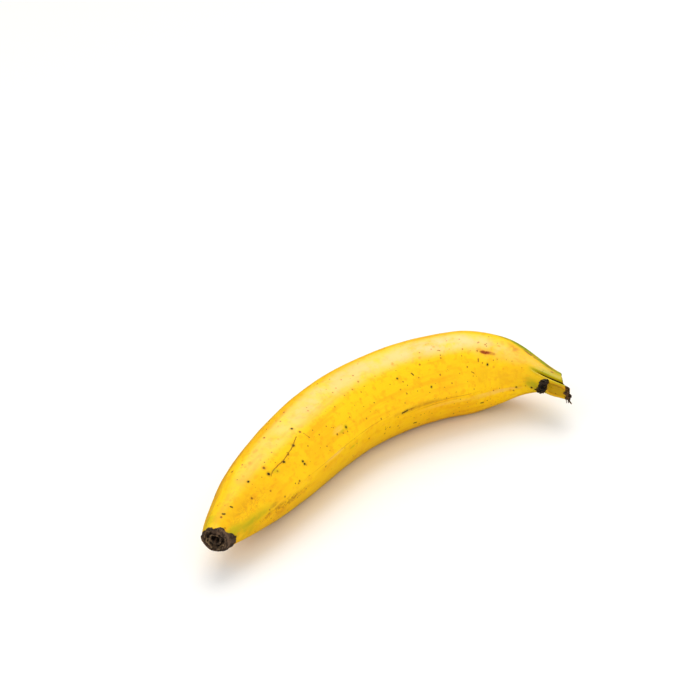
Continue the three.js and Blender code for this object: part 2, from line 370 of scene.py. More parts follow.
@dataclass
class StalkForm:
    """The stalk, split lengthwise in two lobes, with a flat torn face on the inner one."""

    split_starts: float = 225.0
    split_opens_over: float = 11.0
    split_near: float = 119.0
    split_far: float = 247.0
    split_depth: float = 2.2
    split_half_width: float = 0.4
    far_share: float = 0.5
    lip_height: float = 0.25
    lip_offset: float = 1.2
    outer_lobe_end: float = 244.2
    outer_lobe_slope: float = 1.1
    end_radius: float = 6.4
    inner_lobe_end: float = 251.0
    lobe_blend: float = 4.0
    tear_starts: float = 236.6
    taper_at: float = 228.0
    taper_half_width: float = 40.0
    taper: float = 0.26
    tear_faces: float = 176.0
    tear_from: float = 4.9
    tear_to: float = 4.3
    tear_opens_over: float = 2.5
    tear_rises: float = 3.0
    tear_hollow: float = 0.35
    tear_limit: float = 0.3
    rim_width: float = 0.9
    rim_share: float = 0.3
    flesh_at: float = 244.0
    flesh_half_length: float = 8.5
    flesh_half_width: float = 40.0
    flesh_edge: tuple[float, float] = (0.85, 1.1)
    clear_of_skin: float = 1.0

    def inner_lobe(self, around: np.ndarray) -> np.ndarray:
        """Tells the stalk's two lobes apart.

        Args:
            around: angles round the stalk, in degrees.

        Returns:
            1 on the inner lobe and 0 on the outer one.
        """
        into = smoothstep(self.split_near - self.lobe_blend, self.split_near + self.lobe_blend, around)
        out = smoothstep(self.split_far - self.lobe_blend, self.split_far + self.lobe_blend, around)
        return into * (1 - out)

    def lobe_ends(self, around: np.ndarray) -> np.ndarray:
        """Where each side of the stalk ends: the outer lobe in a slanted break, the inner one straight."""
        outer = self.outer_lobe_end - self.outer_lobe_slope * self.end_radius * np.cos(np.radians(around))
        return between(outer, self.inner_lobe_end, self.inner_lobe(around))

    def stretched(self, along: np.ndarray, around: np.ndarray) -> np.ndarray:
        """Draws the stalk's columns in or out to the two lobes' own ends.

        Args:
            along: places along the fruit as if the stalk had one end, in millimetres.
            around: angles round it, in degrees.

        Returns:
            The places along the fruit, each lobe with its own end.
        """
        share = (self.lobe_ends(around) - self.split_starts) / (self.inner_lobe_end - self.split_starts)
        past = np.maximum(along - self.split_starts, 0)
        return np.minimum(along, self.split_starts) + past * share

    def tapered(self, along: np.ndarray, around: np.ndarray) -> np.ndarray:
        """The share of its radius that the inner lobe keeps as its underside narrows to its end."""
        narrowing = smoothstep(self.tear_starts, self.inner_lobe_end, along)
        return 1 - self.taper * narrowing * bump(degrees_apart(around, self.taper_at), self.taper_half_width)

    def split(
        self, along: np.ndarray, around: np.ndarray, radius: np.ndarray
    ) -> tuple[np.ndarray, np.ndarray]:
        """The split's groove and the lips beside it.

        Args:
            along: places along the fruit, in millimetres.
            around: angles round it, in degrees.
            radius: the stalk's radius there.

        Returns:
            The groove's depth as a share of its deepest, and the change of radius.
        """
        opened = smoothstep(self.split_starts, self.split_starts + self.split_opens_over, along)
        near = np.radians(degrees_apart(around, self.split_near)) * radius
        far = np.radians(degrees_apart(around, self.split_far)) * radius
        groove = bump(near, self.split_half_width) + self.far_share * bump(far, self.split_half_width)
        lips = bump(np.abs(near) - self.lip_offset, self.split_half_width)
        return opened * groove, opened * (self.lip_height * lips - self.split_depth * groove)

    def off_flesh(self, along: np.ndarray, around: np.ndarray) -> np.ndarray:
        """How far the torn face's points are from its oval of bare flesh.

        Args:
            along: places along the fruit, in millimetres.
            around: angles round it, in degrees.

        Returns:
            0 on the flesh and 1 off it.
        """
        across = degrees_apart(around, self.tear_faces) / self.flesh_half_width
        lengthwise = (along - self.flesh_at) / self.flesh_half_length
        return smoothstep(*self.flesh_edge, np.hypot(lengthwise, across))

    def tear(
        self, along: np.ndarray, around: np.ndarray, radius: np.ndarray
    ) -> tuple[np.ndarray, np.ndarray]:
        """The flat torn face, with the peel's edge left standing round it.

        Args:
            along: places along the fruit, in millimetres.
            around: angles round it, in degrees.
            radius: the stalk's radius there.

        Returns:
            How far inside the torn face each point is, as a share, and its new radius.
        """
        facing = np.cos(np.radians(degrees_apart(around, self.tear_faces)))
        opened = smoothstep(self.tear_starts, self.tear_starts + self.tear_opens_over, along)
        run = smoothstep(self.tear_starts, self.inner_lobe_end, along)
        plane = between(self.tear_from, self.tear_to, run) + self.tear_rises * (1 - opened)
        uncut = radius + self.clear_of_skin
        cut = np.where(along < self.tear_starts, uncut, plane / np.maximum(facing, self.tear_limit))
        inside = smoothstep(0.0, self.rim_width, radius - cut) * (facing > self.tear_limit)
        return inside, np.minimum(radius, cut) - self.tear_hollow * inside


class MeshWork:
    """Modelling steps that the pieces share."""

    @staticmethod
    def tube(name: str, rings: Sequence[tuple[float, float]], sides: int, levels: int) -> bpy.types.Object:
        """Draws a closed tube along +X, ring by ring, and smooths it.

        Args:
            name: the new object's name.
            rings: for each ring, its place along +X and its radius, in millimetres.
            sides: number of sides of a ring.
            levels: subdivision levels to apply.

        Returns:
            The finished object, at the origin.
        """
        bpy.ops.object.select_all(action="DESELECT")
        first, first_radius = rings[0]
        bpy.ops.mesh.primitive_circle_add(vertices=sides, radius=first_radius, rotation=(0, math.pi / 2, 0))
        tube = bpy.context.object
        tube.name = name
        tube.data.name = name
        bpy.ops.object.transform_apply(location=True, rotation=True, scale=True)
        bpy.ops.object.mode_set(mode="EDIT")
        bpy.ops.mesh.select_all(action="SELECT")
        bpy.ops.transform.translate(value=(first, 0, 0))
        bpy.ops.mesh.edge_face_add()
        for (before, radius), (after, next_radius) in zip(rings, rings[1:]):
            bpy.ops.mesh.extrude_region_move(TRANSFORM_OT_translate={"value": (after - before, 0, 0)})
            share = next_radius / radius
            bpy.ops.transform.resize(value=(1, share, share), center_override=(after, 0, 0))
        bpy.ops.object.mode_set(mode="OBJECT")
        MeshWork.close_ends(tube)
        MeshWork.subdivide(tube, levels)
        return tube

    @staticmethod
    def close_ends(tube: bpy.types.Object) -> None:
        """Turns a tube's two end faces to fans and points all faces outwards.

        Args:
            tube: the tube, which is the active object.
        """
        most_corners = 4
        for polygon in tube.data.polygons:
            polygon.select = len(polygon.vertices) > most_corners
        bpy.ops.object.mode_set(mode="EDIT")
        bpy.ops.mesh.select_mode(type="FACE")
        bpy.ops.mesh.poke()
        bpy.ops.mesh.select_all(action="SELECT")
        bpy.ops.mesh.normals_make_consistent(inside=False)
        bpy.ops.mesh.select_mode(type="VERT")
        bpy.ops.object.mode_set(mode="OBJECT")

    @staticmethod
    def subdivide(piece: bpy.types.Object, levels: int) -> None:
        """Applies a Subdivision Surface modifier.

        Args:
            piece: the piece, which is the active object.
            levels: how often each face is split in four.
        """
        bpy.ops.object.modifier_add(type="SUBSURF")
        smoothing = piece.modifiers[-1]
        smoothing.levels = levels
        smoothing.render_levels = levels
        bpy.ops.object.modifier_apply(modifier=smoothing.name)

    @staticmethod
    def read(piece: bpy.types.Object) -> np.ndarray:
        """Reads where a piece's vertices are.

        Args:
            piece: the piece.

        Returns:
            Its vertices as rows of X, Y and Z.
        """
        places = np.empty(len(piece.data.vertices) * 3)
        piece.data.vertices.foreach_get("co", places)
        return places.reshape(-1, 3)

    @staticmethod
    def write(piece: bpy.types.Object, places: np.ndarray) -> None:
        """Moves a piece's vertices and shades it smooth.

        Args:
            piece: the piece.
            places: the vertices' new places, as rows of X, Y and Z.
        """
        piece.data.vertices.foreach_set("co", places.ravel())
        piece.data.polygons.foreach_set("use_smooth", np.ones(len(piece.data.polygons), bool))
        piece.data.update()

    @staticmethod
    def store(piece: bpy.types.Object, layer: Layer, values: np.ndarray) -> None:
        """Keeps one number, or one row of three numbers, for each vertex.

        Args:
            piece: the piece.
            layer: what the numbers are for.
            values: a number or a row for each vertex.
        """
        if values.ndim == 1:
            kept = piece.data.attributes.new(layer.value, "FLOAT", "POINT")
            kept.data.foreach_set("value", values.astype(np.float32))
        else:
            kept = piece.data.attributes.new(layer.value, "FLOAT_VECTOR", "POINT")
            kept.data.foreach_set("vector", values.astype(np.float32).ravel())

    @staticmethod
    def hand_over(piece: bpy.types.Object, material: bpy.types.Material) -> None:
        """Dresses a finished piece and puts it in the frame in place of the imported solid.

        Args:
            piece: the finished piece.
            material: its finish.
        """
        piece.data.materials.clear()
        piece.data.materials.append(material)
        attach(piece, "root")
        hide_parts(NODE)
        LOG.info("%s: %d faces", piece.name, len(piece.data.polygons))


@dataclass
class Peel:
    """The fruit's body, neck and split stalk in one skin."""

    form: FruitForm
    stalk: StalkForm
    sides: int = 56
    levels: int = 2
    body_step: float = 3.1
    stalk_step: float = 1.7
    skin_starts: float = 0.0
    under_scar: tuple[tuple[float, float], ...] = (
        (3.5, 2.0), (3.0, 4.2), (0.8, 5.0), (-1.2, 5.5), (-1.9, 6.0), (-1.8, 6.5), (-1.0, 6.9)
    )
    end_shares: tuple[float, ...] = (0.94, 0.8, 0.62, 0.48, 0.36, 0.18)
    strip_share: float = 0.45
    end_swell: float = 0.35
    end_margin: float = 1.0
    end_inside: float = 0.97
    dry_edge: tuple[float, float] = (1.5, 0.4)
    dry_cap: float = 8.0
    dry_wall: tuple[float, float] = (14.0, 8.0)
    skin_share: float = 0.9
    uneven_from: tuple[float, float] = (4.0, 30.0)
    fibrous_from: tuple[float, float] = (215.0, 240.0)
    swelling: float = 0.3
    swelling_size: float = 30.0
    waviness: float = 0.06
    waviness_size: float = 6.0
    fibre_relief: float = 0.12
    fibre_size: float = 1.8
    fibre_stretch: float = 0.12
    ragged: float = 0.7
    ragged_run: float = 3.0
    ragged_size: float = 1.6
    ragged_stretch: float = 0.3

    def rings(self) -> list[tuple[float, float]]:
        """Rings from under the blossom scar to the middle of the stalk's end.

        Returns:
            For each ring, its place along the fruit and its radius, in millimetres.
        """
        body = np.arange(self.skin_starts, self.stalk.split_starts - self.body_step / 2, self.body_step)
        stalk = np.arange(self.stalk.split_starts, self.stalk.inner_lobe_end, self.stalk_step)
        end = self.stalk.inner_lobe_end
        skin = [(float(along), float(self.form.radius(along))) for along in (*body, *stalk, end)]
        last_radius = skin[-1][1]
        return [*self.under_scar, *skin, *((end, last_radius * share) for share in self.end_shares)]

    def build(self) -> bpy.types.Object:
        """Models the straight skin, gives it its relief and lays it down.

        Returns:
            The peel, with its layers for the finish.
        """
        peel = MeshWork.tube("peel", self.rings(), self.sides, self.levels)
        drawn = MeshWork.read(peel)
        around = np.degrees(np.arctan2(drawn[:, 2], drawn[:, 1])) % 360
        rounding = 0.997      # the subdivided rings are this much smaller than drawn
        full = self.form.radius(drawn[:, 0]) * rounding
        share = np.clip(np.hypot(drawn[:, 1], drawn[:, 2]) / full, 0, 1)
        along = self.stalk.stretched(drawn[:, 0], around)
        radius = self.form.radius(along) * between(1, self.form.ridge_factor(along, around), share)
        radius = (radius + self.form.lifts(along, around)) * self.stalk.tapered(along, around)
        cleft, step = self.stalk.split(along, around, radius)
        torn, reach = self.stalk.tear(along, around, radius + step)
        torn = torn * between(1, self.stalk.rim_share, self.stalk.off_flesh(along, around))
        on_end = (drawn[:, 0] > self.stalk.split_starts) * (1 - share)
        strip = np.clip(share / between(1, self.strip_share, self.stalk.inner_lobe(around)), 0, 1)
        swell = self.end_swell * np.sqrt(np.maximum(on_end, 0))
        along = np.where(on_end > 0, between(self.stalk.outer_lobe_end, along, strip) + swell, along)
        straight = polar_points(along, around, reach * share)
        straight = self.relief(straight, around, drawn[:, 0], share)
        MeshWork.store(peel, Layer.GROWN, straight)
        MeshWork.store(peel, Layer.CLEFT, cleft)
        outer_end = (drawn[:, 0] > self.stalk.inner_lobe_end - self.end_margin) * (share < self.end_inside)
        MeshWork.store(peel, Layer.TORN, np.maximum(torn, outer_end * (1 - self.stalk.inner_lobe(around))))
        MeshWork.store(peel, Layer.DRIED, self.dried(drawn[:, 0], around, share))
        MeshWork.write(peel, self.form.lay_down(straight))
        return peel

    def dried(self, drawn_along: np.ndarray, around: np.ndarray, share: np.ndarray) -> np.ndarray:
        """How dry the stalk's end is: all over its end faces, and on a narrow edge before them.

        Args:
            drawn_along: the points' places before the lobes were drawn out, in millimetres.
            around: their angles, in degrees.
            share: 1 on the skin and less on the end faces.

        Returns:
            How dry each point is, from 0 to 1.
        """
        end = self.stalk.inner_lobe_end
        edge_starts, edge_ends = self.dry_edge
        wall_starts, wall_ends = self.dry_wall
        edge = smoothstep(end - edge_starts, end - edge_ends, drawn_along)
        cap = (drawn_along > end - self.end_margin) * (1 - share) * self.dry_cap
        wall = bump(degrees_apart(around, self.stalk.split_near), self.stalk.lobe_blend)
        wall = wall * smoothstep(end - wall_starts, end - wall_ends, drawn_along)
        return np.clip(np.maximum((edge + cap) * self.stalk.inner_lobe(around), wall), 0, 1)

    def relief(
        self, straight: np.ndarray, around: np.ndarray, drawn_along: np.ndarray, share: np.ndarray
    ) -> np.ndarray:
        """Makes the skin slightly uneven, the stalk fibrous and its end ragged.

        Args:
            straight: the points, in millimetres.
            around: their angles, in degrees.
            drawn_along: their places before the lobes were drawn out.
            share: 1 on the skin and less on the end faces.

        Returns:
            The moved points.
        """
        along = straight[:, 0]
        end = self.stalk.inner_lobe_end
        on_stalk = smoothstep(*self.fibrous_from, along)
        on_body = smoothstep(*self.uneven_from, along) * (1 - on_stalk)
        lift = self.swelling * on_body * unevenness(straight, self.swelling_size, 2, Pattern.SWELLING)
        lift += self.waviness * on_body * unevenness(straight, self.waviness_size, 2, Pattern.WAVINESS)
        lengthwise = straight * np.array([self.fibre_stretch, 1.0, 1.0])
        lift += self.fibre_relief * on_stalk * unevenness(lengthwise, self.fibre_size, 3, Pattern.STALK_FIBRE)
        lift *= smoothstep(self.skin_share, 1.0, share)
        reach = np.hypot(straight[:, 1], straight[:, 2]) + lift
        moved = polar_points(along, around, np.maximum(reach, 0))
        at_end = smoothstep(end - self.ragged_run, end, drawn_along)
        torn = straight * np.array([self.ragged_stretch, 1.0, 1.0])
        moved[:, 0] += self.ragged * at_end * unevenness(torn, self.ragged_size, 3, Pattern.RAGGED_END)
        return moved


@dataclass
class BlossomScar:
    """The dried, woody scar where the flower was: a crust round the tip and a ringed, hollow face."""

    form: FruitForm
    sides: int = 64
    levels: int = 2
    skirt_starts: float = 8.0
    skirt_steps: int = 9
    skirt_to_face: float = 0.7
    inner_step: float = 0.5
    inner_share: float = 0.5
    skirt_share: tuple[float, float] = (0.93, 0.99)
    face: tuple[tuple[float, float], ...] = (
        (-1.2, 6.98), (-2.6, 6.5), (-3.2, 5.8), (-2.2, 5.1), (-0.6, 4.6), (-0.2, 3.9), (-1.6, 3.4),
        (-2.0, 2.8), (-1.4, 2.1), (0.6, 1.6), (2.0, 1.1), (2.4, 0.5),
    )
    edge_middle: float = 1.0
    edge_swing: float = 3.6
    edge_far_along_at: float = 225.0
    notch_at: float = 150.0
    notch_half_width: float = 18.0
    notch_depth: float = 2.0
    tooth_length: float = 0.85
    tooth_size: float = 1.5
    crust: float = 0.6
    crust_ends: tuple[float, float] = (-1.0, 0.3)
    dive: float = 0.9
    dives: tuple[float, float] = (-0.3, 1.0)
    lumps: float = 0.55
    lump_size: float = 2.6
    face_lumps: float = 0.8
    rim_lumps: float = 0.5
    rim_share: tuple[float, float] = (0.9, 1.0)
    smooth_middle: tuple[float, float] = (0.2, 0.9)
    streaks: float = 0.3
    streak_size: float = 1.1
    streak_stretch: float = 0.2
    pattern_reach: float = 5.0

    def edge(self, around: np.ndarray) -> np.ndarray:
        """How far along the crust reaches at each angle, before its teeth."""
        slanted = self.edge_middle + self.edge_swing * np.cos(np.radians(around - self.edge_far_along_at))
        return slanted - self.notch_depth * bump(degrees_apart(around, self.notch_at), self.notch_half_width)

    def build(self) -> bpy.types.Object:
        """Models the crust and the face, roughens them and lays them on the tip.

        Returns:
            The scar, with its place on the straight fruit kept for the finish.
        """
        face_along, face_radius = self.face[0]
        skirt = [
            (float(along), self.form.tip_radius)
            for along in np.linspace(self.skirt_starts, face_along + self.skirt_to_face, self.skirt_steps)
        ]
        inner = (self.skirt_starts - self.inner_step, face_radius * self.inner_share)
        scar = MeshWork.tube("blossom_scar", [inner, *skirt, *self.face], self.sides, self.levels)
        drawn = MeshWork.read(scar)
        along = drawn[:, 0]
        around = np.degrees(np.arctan2(drawn[:, 2], drawn[:, 1])) % 360
        reach = np.hypot(drawn[:, 1], drawn[:, 2])
        share = np.clip(reach / self.form.tip_radius, 0, 1)
        on_skirt = smoothstep(*self.skirt_share, share)
        round_edge = polar_points(along * 0, around, np.full_like(along, self.pattern_reach))
        teeth = unevenness(round_edge, self.tooth_size, 3, Pattern.SCAR_TEETH)
        past_edge = along - self.edge(around) - self.tooth_length * teeth
        crust = self.crust * (1 - smoothstep(*self.crust_ends, past_edge))
        lift = crust - self.dive * smoothstep(*self.dives, past_edge)
        on_face = reach * between(1, self.form.ridge_factor(along, around), share)
        ringed = between(on_face, self.form.skin_radius(along, around) + lift, on_skirt)
        straight = self.roughen(polar_points(along, around, ringed), around, share)
        MeshWork.store(scar, Layer.GROWN, straight)
        MeshWork.write(scar, self.form.lay_down(straight))
        return scar

    def roughen(self, straight: np.ndarray, around: np.ndarray, share: np.ndarray) -> np.ndarray:
        """Adds lumps all over, and woody streaks that run along the crust and out over the face.

        Args:
            straight: the points, in millimetres.
            around: their angles, in degrees.
            share: their distance from the middle, 1 on the crust.

        Returns:
            The moved points.
        """
        lumps = self.lumps * unevenness(straight, self.lump_size, 3, Pattern.SCAR_LUMPS)
        ring = np.full_like(around, self.pattern_reach) + share
        outwards = polar_points(straight[:, 0] * self.streak_stretch, around, ring)
        streaks = self.streaks * unevenness(outwards, self.streak_size, 3, Pattern.SCAR_STREAKS)
        at_rim = smoothstep(*self.rim_share, share)
        uneven = (lumps + streaks) * smoothstep(*self.smooth_middle, share) * (1 - self.rim_lumps * at_rim)
        reach = np.hypot(straight[:, 1], straight[:, 2]) + uneven
        moved = polar_points(straight[:, 0], around, reach)
        moved[:, 0] += (lumps * self.face_lumps + streaks) * (1 - at_rim)
        return moved


@dataclass
class NeckScar:
    """Crust of dried tissue round the stalk's inner side, where the tear begins."""

    form: FruitForm
    sides: int = 24
    levels: int = 2
    around: tuple[float, float] = (128.0, 199.0)
    along: tuple[float, float] = (238.0, 234.9)
    shares: tuple[float, ...] = (0.4, 0.8, 0.95, 1.0, 1.0, 1.0, 1.0, 1.0, 1.0, 0.98, 0.85)
    half_length: float = 2.6
    widens: tuple[float, float] = (0.85, 1.1)
    thickness: float = 1.5
    thinner_start: float = 0.75
    sunk: float = 0.25
    stub_height: float = 1.5
    stub_starts: float = 0.62
    lumps: float = 0.65
    lump_size: float = 1.8
    dent_at: tuple[float, float] = (237.6, 166.0)
    dent_depth: float = 0.55
    dent_half_width: float = 0.8

    def build(self) -> bpy.types.Object:
        """Models a lumpy strip, wraps it round the stalk and lays it down.

        Returns:
            The crust, with its place on the straight fruit kept for the finish.
        """
        last = len(self.shares) - 1
        rings = [(index / last, share) for index, share in enumerate(self.shares)]
        scar = MeshWork.tube("neck_scar", rings, self.sides, self.levels)
        drawn = MeshWork.read(scar)
        run = np.clip(drawn[:, 0], 0, 1)
        around = between(*self.around, drawn[:, 0])
        along = between(*self.along, run) + drawn[:, 1] * self.half_length * between(*self.widens, run)
        skin = self.form.skin_radius(along, around)
        stub = self.stub_height * smoothstep(self.stub_starts, 1.0, run)
        crust = drawn[:, 2] * self.thickness * between(self.thinner_start, 1.0, run)
        reach = skin - self.sunk + stub + crust
        straight = polar_points(along, around, reach)
        reach = reach + self.lumps * unevenness(straight, self.lump_size, 3, Pattern.NECK_REACH)
        from_dent = np.hypot(along - self.dent_at[0], np.radians(around - self.dent_at[1]) * skin)
        reach = reach - self.dent_depth * bump(from_dent, self.dent_half_width) * (drawn[:, 2] > 0)
        along = along + self.lumps * unevenness(straight, self.lump_size, 3, Pattern.NECK_EDGE)
        straight = polar_points(along, around, reach)
        MeshWork.store(scar, Layer.GROWN, straight)
        MeshWork.write(scar, self.form.lay_down(straight))
        return scar


@dataclass
class StalkFibres:
    """Dried, crooked fibres that stand out of the inner lobe's torn end."""

    form: FruitForm
    stalk: StalkForm
    count: int = 18
    around: tuple[float, float] = (130.0, 245.0)
    reach: tuple[float, float] = (2.6, 4.2)
    radius: tuple[float, float] = (0.5, 0.9)
    length: tuple[float, float] = (0.3, 2.6)
    hang: float = 2.6
    hangs_towards: float = 225.0
    root_depth: float = 2.5
    jitter: float = 4.0
    spread: float = 1.2
    sideways_share: float = 0.6
    flatness: float = 0.6
    crook: float = 0.25
    crook_turns: float = 7.0
    shares: tuple[float, ...] = (0.7, 1.0, 1.0, 0.95, 0.9, 0.8, 0.6)
    sides: int = 6
    levels: int = 1
    seed: int = 11

    def build(self) -> bpy.types.Object:
        """Models each fibre, joins them and lays them down.

        Returns:
            The bundle, with its place on the straight fruit kept for the finish.
        """
        draw = random.Random(self.seed)
        fibres = [self.fibre(index, draw) for index in range(self.count)]
        bpy.ops.object.select_all(action="DESELECT")
        for fibre in fibres:
            fibre.select_set(True)
        bpy.context.view_layer.objects.active = fibres[0]
        bpy.ops.object.join()
        bundle = bpy.context.object
        bundle.name = "stalk_fibres"
        straight = MeshWork.read(bundle)
        MeshWork.store(bundle, Layer.GROWN, straight)
        MeshWork.write(bundle, self.form.lay_down(straight))
        return bundle

    def fibre(self, index: int, draw: random.Random) -> bpy.types.Object:
        """One tapered, crooked fibre.

        Args:
            index: its number in the fan round the end.
            draw: the seeded source of its own size and crook.

        Returns:
            The fibre, on the straight fruit.
        """
        length = self.root_depth + draw.uniform(*self.length)
        radius = draw.uniform(*self.radius)
        around = between(*self.around, index / (self.count - 1)) + draw.uniform(-self.jitter, self.jitter)
        reach = draw.uniform(*self.reach)
        outwards = draw.uniform(0, self.spread)
        sideways = draw.uniform(-self.spread, self.spread) * self.sideways_share
        last = len(self.shares) - 1
        rings = [(length * place / last, radius * share) for place, share in enumerate(self.shares)]
        fibre = MeshWork.tube(f"fibre_{index}", rings, self.sides, self.levels)
        drawn = MeshWork.read(fibre)
        run = drawn[:, 0] / length
        turn = math.radians(around)
        out = np.array([0.0, math.cos(turn), math.sin(turn)])
        side = np.array([0.0, -math.sin(turn), math.cos(turn)])
        crook = self.crook * np.sin(run * self.crook_turns + index)
        down = math.radians(self.hangs_towards)
        drop = self.hang * draw.random() * np.array([0.0, math.cos(down), math.sin(down)])
        root = self.stalk.inner_lobe_end - self.root_depth
        middle = (reach + outwards * run**2 + crook)[:, None] * out + (sideways * run**2)[:, None] * side
        flat = drawn[:, 1:2] * out * self.flatness + drawn[:, 2:3] * side
        straight = middle + flat + (run**2)[:, None] * drop
        straight[:, 0] = root + drawn[:, 0]
        MeshWork.write(fibre, straight)
        return fibre


class MarkKind(Enum):
    """The kinds of mark on the peel."""

    BLACK = "black"
    BROWN = "brown"
    ORANGE = "orange"
    GREEN = "green"
    SCUFF = "scuff"
    STREAK = "streak"


@dataclass(frozen=True)
class Mark:
    """One mark on the peel: its place, and its size in millimetres. slant turns it, in degrees."""

    kind: MarkKind
    along: float
    around: float
    length: float
    width: float = 0.0
    slant: float = 0.0

    def spots(self, form: FruitForm) -> list[tuple[Vector, Vector]]:
        """Ovals that make up the mark: one along the fruit, or a row of round ones where it slants.

        Args:
            form: the fruit's shape, which gives the skin's place.

        Returns:
            Each oval's centre and half sizes on the straight fruit, in millimetres.
        """
        width = self.width or self.length
        if self.slant == 0:
            return [(self.skin_point(form, 0.0), Vector((self.length, width, width)) / 2)]
        spacing = 0.6      # of the width, so that the spots of a row overlap
        half_run = (self.length - width) / 2
        count = math.ceil(2 * half_run / (width * spacing)) + 1
        half = Vector((width,) * 3) / 2
        runs = [between(-half_run, half_run, index / (count - 1)) for index in range(count)]
        return [(self.skin_point(form, run), half) for run in runs]

    def skin_point(self, form: FruitForm, run: float) -> Vector:
        """Finds a point of the mark's slanted length on the skin.

        Args:
            form: the fruit's shape.
            run: distance from the mark's middle, in millimetres.

        Returns:
            The point on the straight fruit, in millimetres.
        """
        slant = math.radians(self.slant)
        along = self.along + run * math.cos(slant)
        reach = float(form.skin_radius(along, self.around))
        turn = math.radians(self.around) + run * math.sin(slant) / reach
        return Vector((along, reach * math.cos(turn), reach * math.sin(turn)))


def marks_of(kind: MarkKind, rows: Iterable[tuple[float, ...]]) -> list[Mark]:
    """Marks of one kind, each from its along, around and length, and its width and slant if it has them."""
    return [Mark(kind, *row) for row in rows]


FRONT_MARKS = [
    *marks_of(MarkKind.BLACK, (
        (68, 107, 1.6), (60, 126, 1.8), (49, 133, 1.7), (58, 152, 1.4), (58, 156.5, 1.5), (28, 111, 1.5),
        (38, 129, 1.9), (161, 160, 1.4), (142, 134, 1.2), (202, 139, 1.5), (94, 156, 1.5),
        (220, 190, 1.3), (229, 192, 1.6), (231, 205, 2.4, 1.4, 60), (139, 179, 5.0, 1.5, -8),
        (148, 214, 2.6, 1.0, 10), (12, 114, 1.7, 0.8, 75), (7, 106, 2.0, 0.9, 70), (196, 209, 2.6, 0.9, 5),
        (152, 136, 2.0, 0.7, 60),
    )),
    *marks_of(MarkKind.BROWN, (
        (22, 137, 1.4), (39, 117, 1.7), (54, 130, 1.4), (69, 119, 1.3), (50, 171, 1.1), (49, 173, 0.9),
        (38, 176, 1.1), (43, 187, 1.0), (48, 198, 0.9), (27, 179, 1.0), (31, 70, 1.4), (56, 83, 1.2),
        (86, 156, 1.1), (90, 160, 0.9), (144, 158, 1.0), (120, 114, 1.0), (110, 194, 1.1), (186, 116, 0.9),
        (188, 143, 0.9),
        (218, 200, 1.1), (5, 104, 1.1), (70, 129, 4.0, 0.7, 80), (172, 112, 1.8, 0.6, 20),
        (196, 133, 2.0, 0.8, 80), (192, 152, 3.0, 0.5, 30), (195, 118, 1.0), (237, 84, 2.6, 1.0, 0),
    )),
    *marks_of(MarkKind.ORANGE, (
        (46, 86, 3.4, 2.0, 10), (38, 92, 2.6), (35, 89, 1.6), (44, 60, 4.0, 1.2, 0), (62, 69, 2.8, 1.2, 0),
        (67, 68, 2.2), (110, 120, 1.3), (114, 137, 1.9), (144, 111, 1.9), (160, 116, 1.7), (170, 103, 1.7),
        (206, 142, 1.7), (206, 96, 2.0, 1.2, 0), (196, 114, 2.4), (216, 197, 2.2), (36, 205, 8.0, 4.0, 0),
        (216, 98, 3.0, 1.2, 0), (27, 190, 6.0, 2.4, 0),
    )),
    *marks_of(MarkKind.GREEN, (
        (94, 186, 5.0, 1.6, 0), (94, 156, 3.4), (90, 157, 5.0, 2.0, 0), (229, 116, 12.0, 3.0, 0),
        (230, 176, 8.0, 5.0, 0), (236, 104, 10.0, 5.0, 0), (42, 134, 5.0, 3.0, 40),
    )),
    *marks_of(MarkKind.STREAK, (
        (212, 61, 6.0, 0.9, 20), (217, 65, 5.0, 0.9, 12), (222, 65, 4.0, 1.0, -12), (227, 60, 5.0, 1.2, -40),
        (232, 60, 5.0, 1.0, -10), (30, 176, 7.0, 2.4, 0), (34, 186, 9.0, 3.0, 0), (43, 192, 9.0, 2.6, 0),
        (27, 186, 5.0, 2.0, 0), (245, 142, 7.0, 0.7, 4),
    )),
    *marks_of(MarkKind.SCUFF, ((88, 152, 9.0, 3.0, 0), (78, 176, 16.0, 2.0, 0))),
]


@dataclass(frozen=True)
class Zone:
    """A broad or long tint, oval in its place along and its angle round, so that it follows the ridges.

    Its middle is along and around, half_width is in degrees, and it fades from the share hard to its edge.
    """

    colour: str
    cover: float
    along: float
    around: float
    half_length: float
    half_width: float
    hard: float = 0.3
    broken_by: str = "streak"


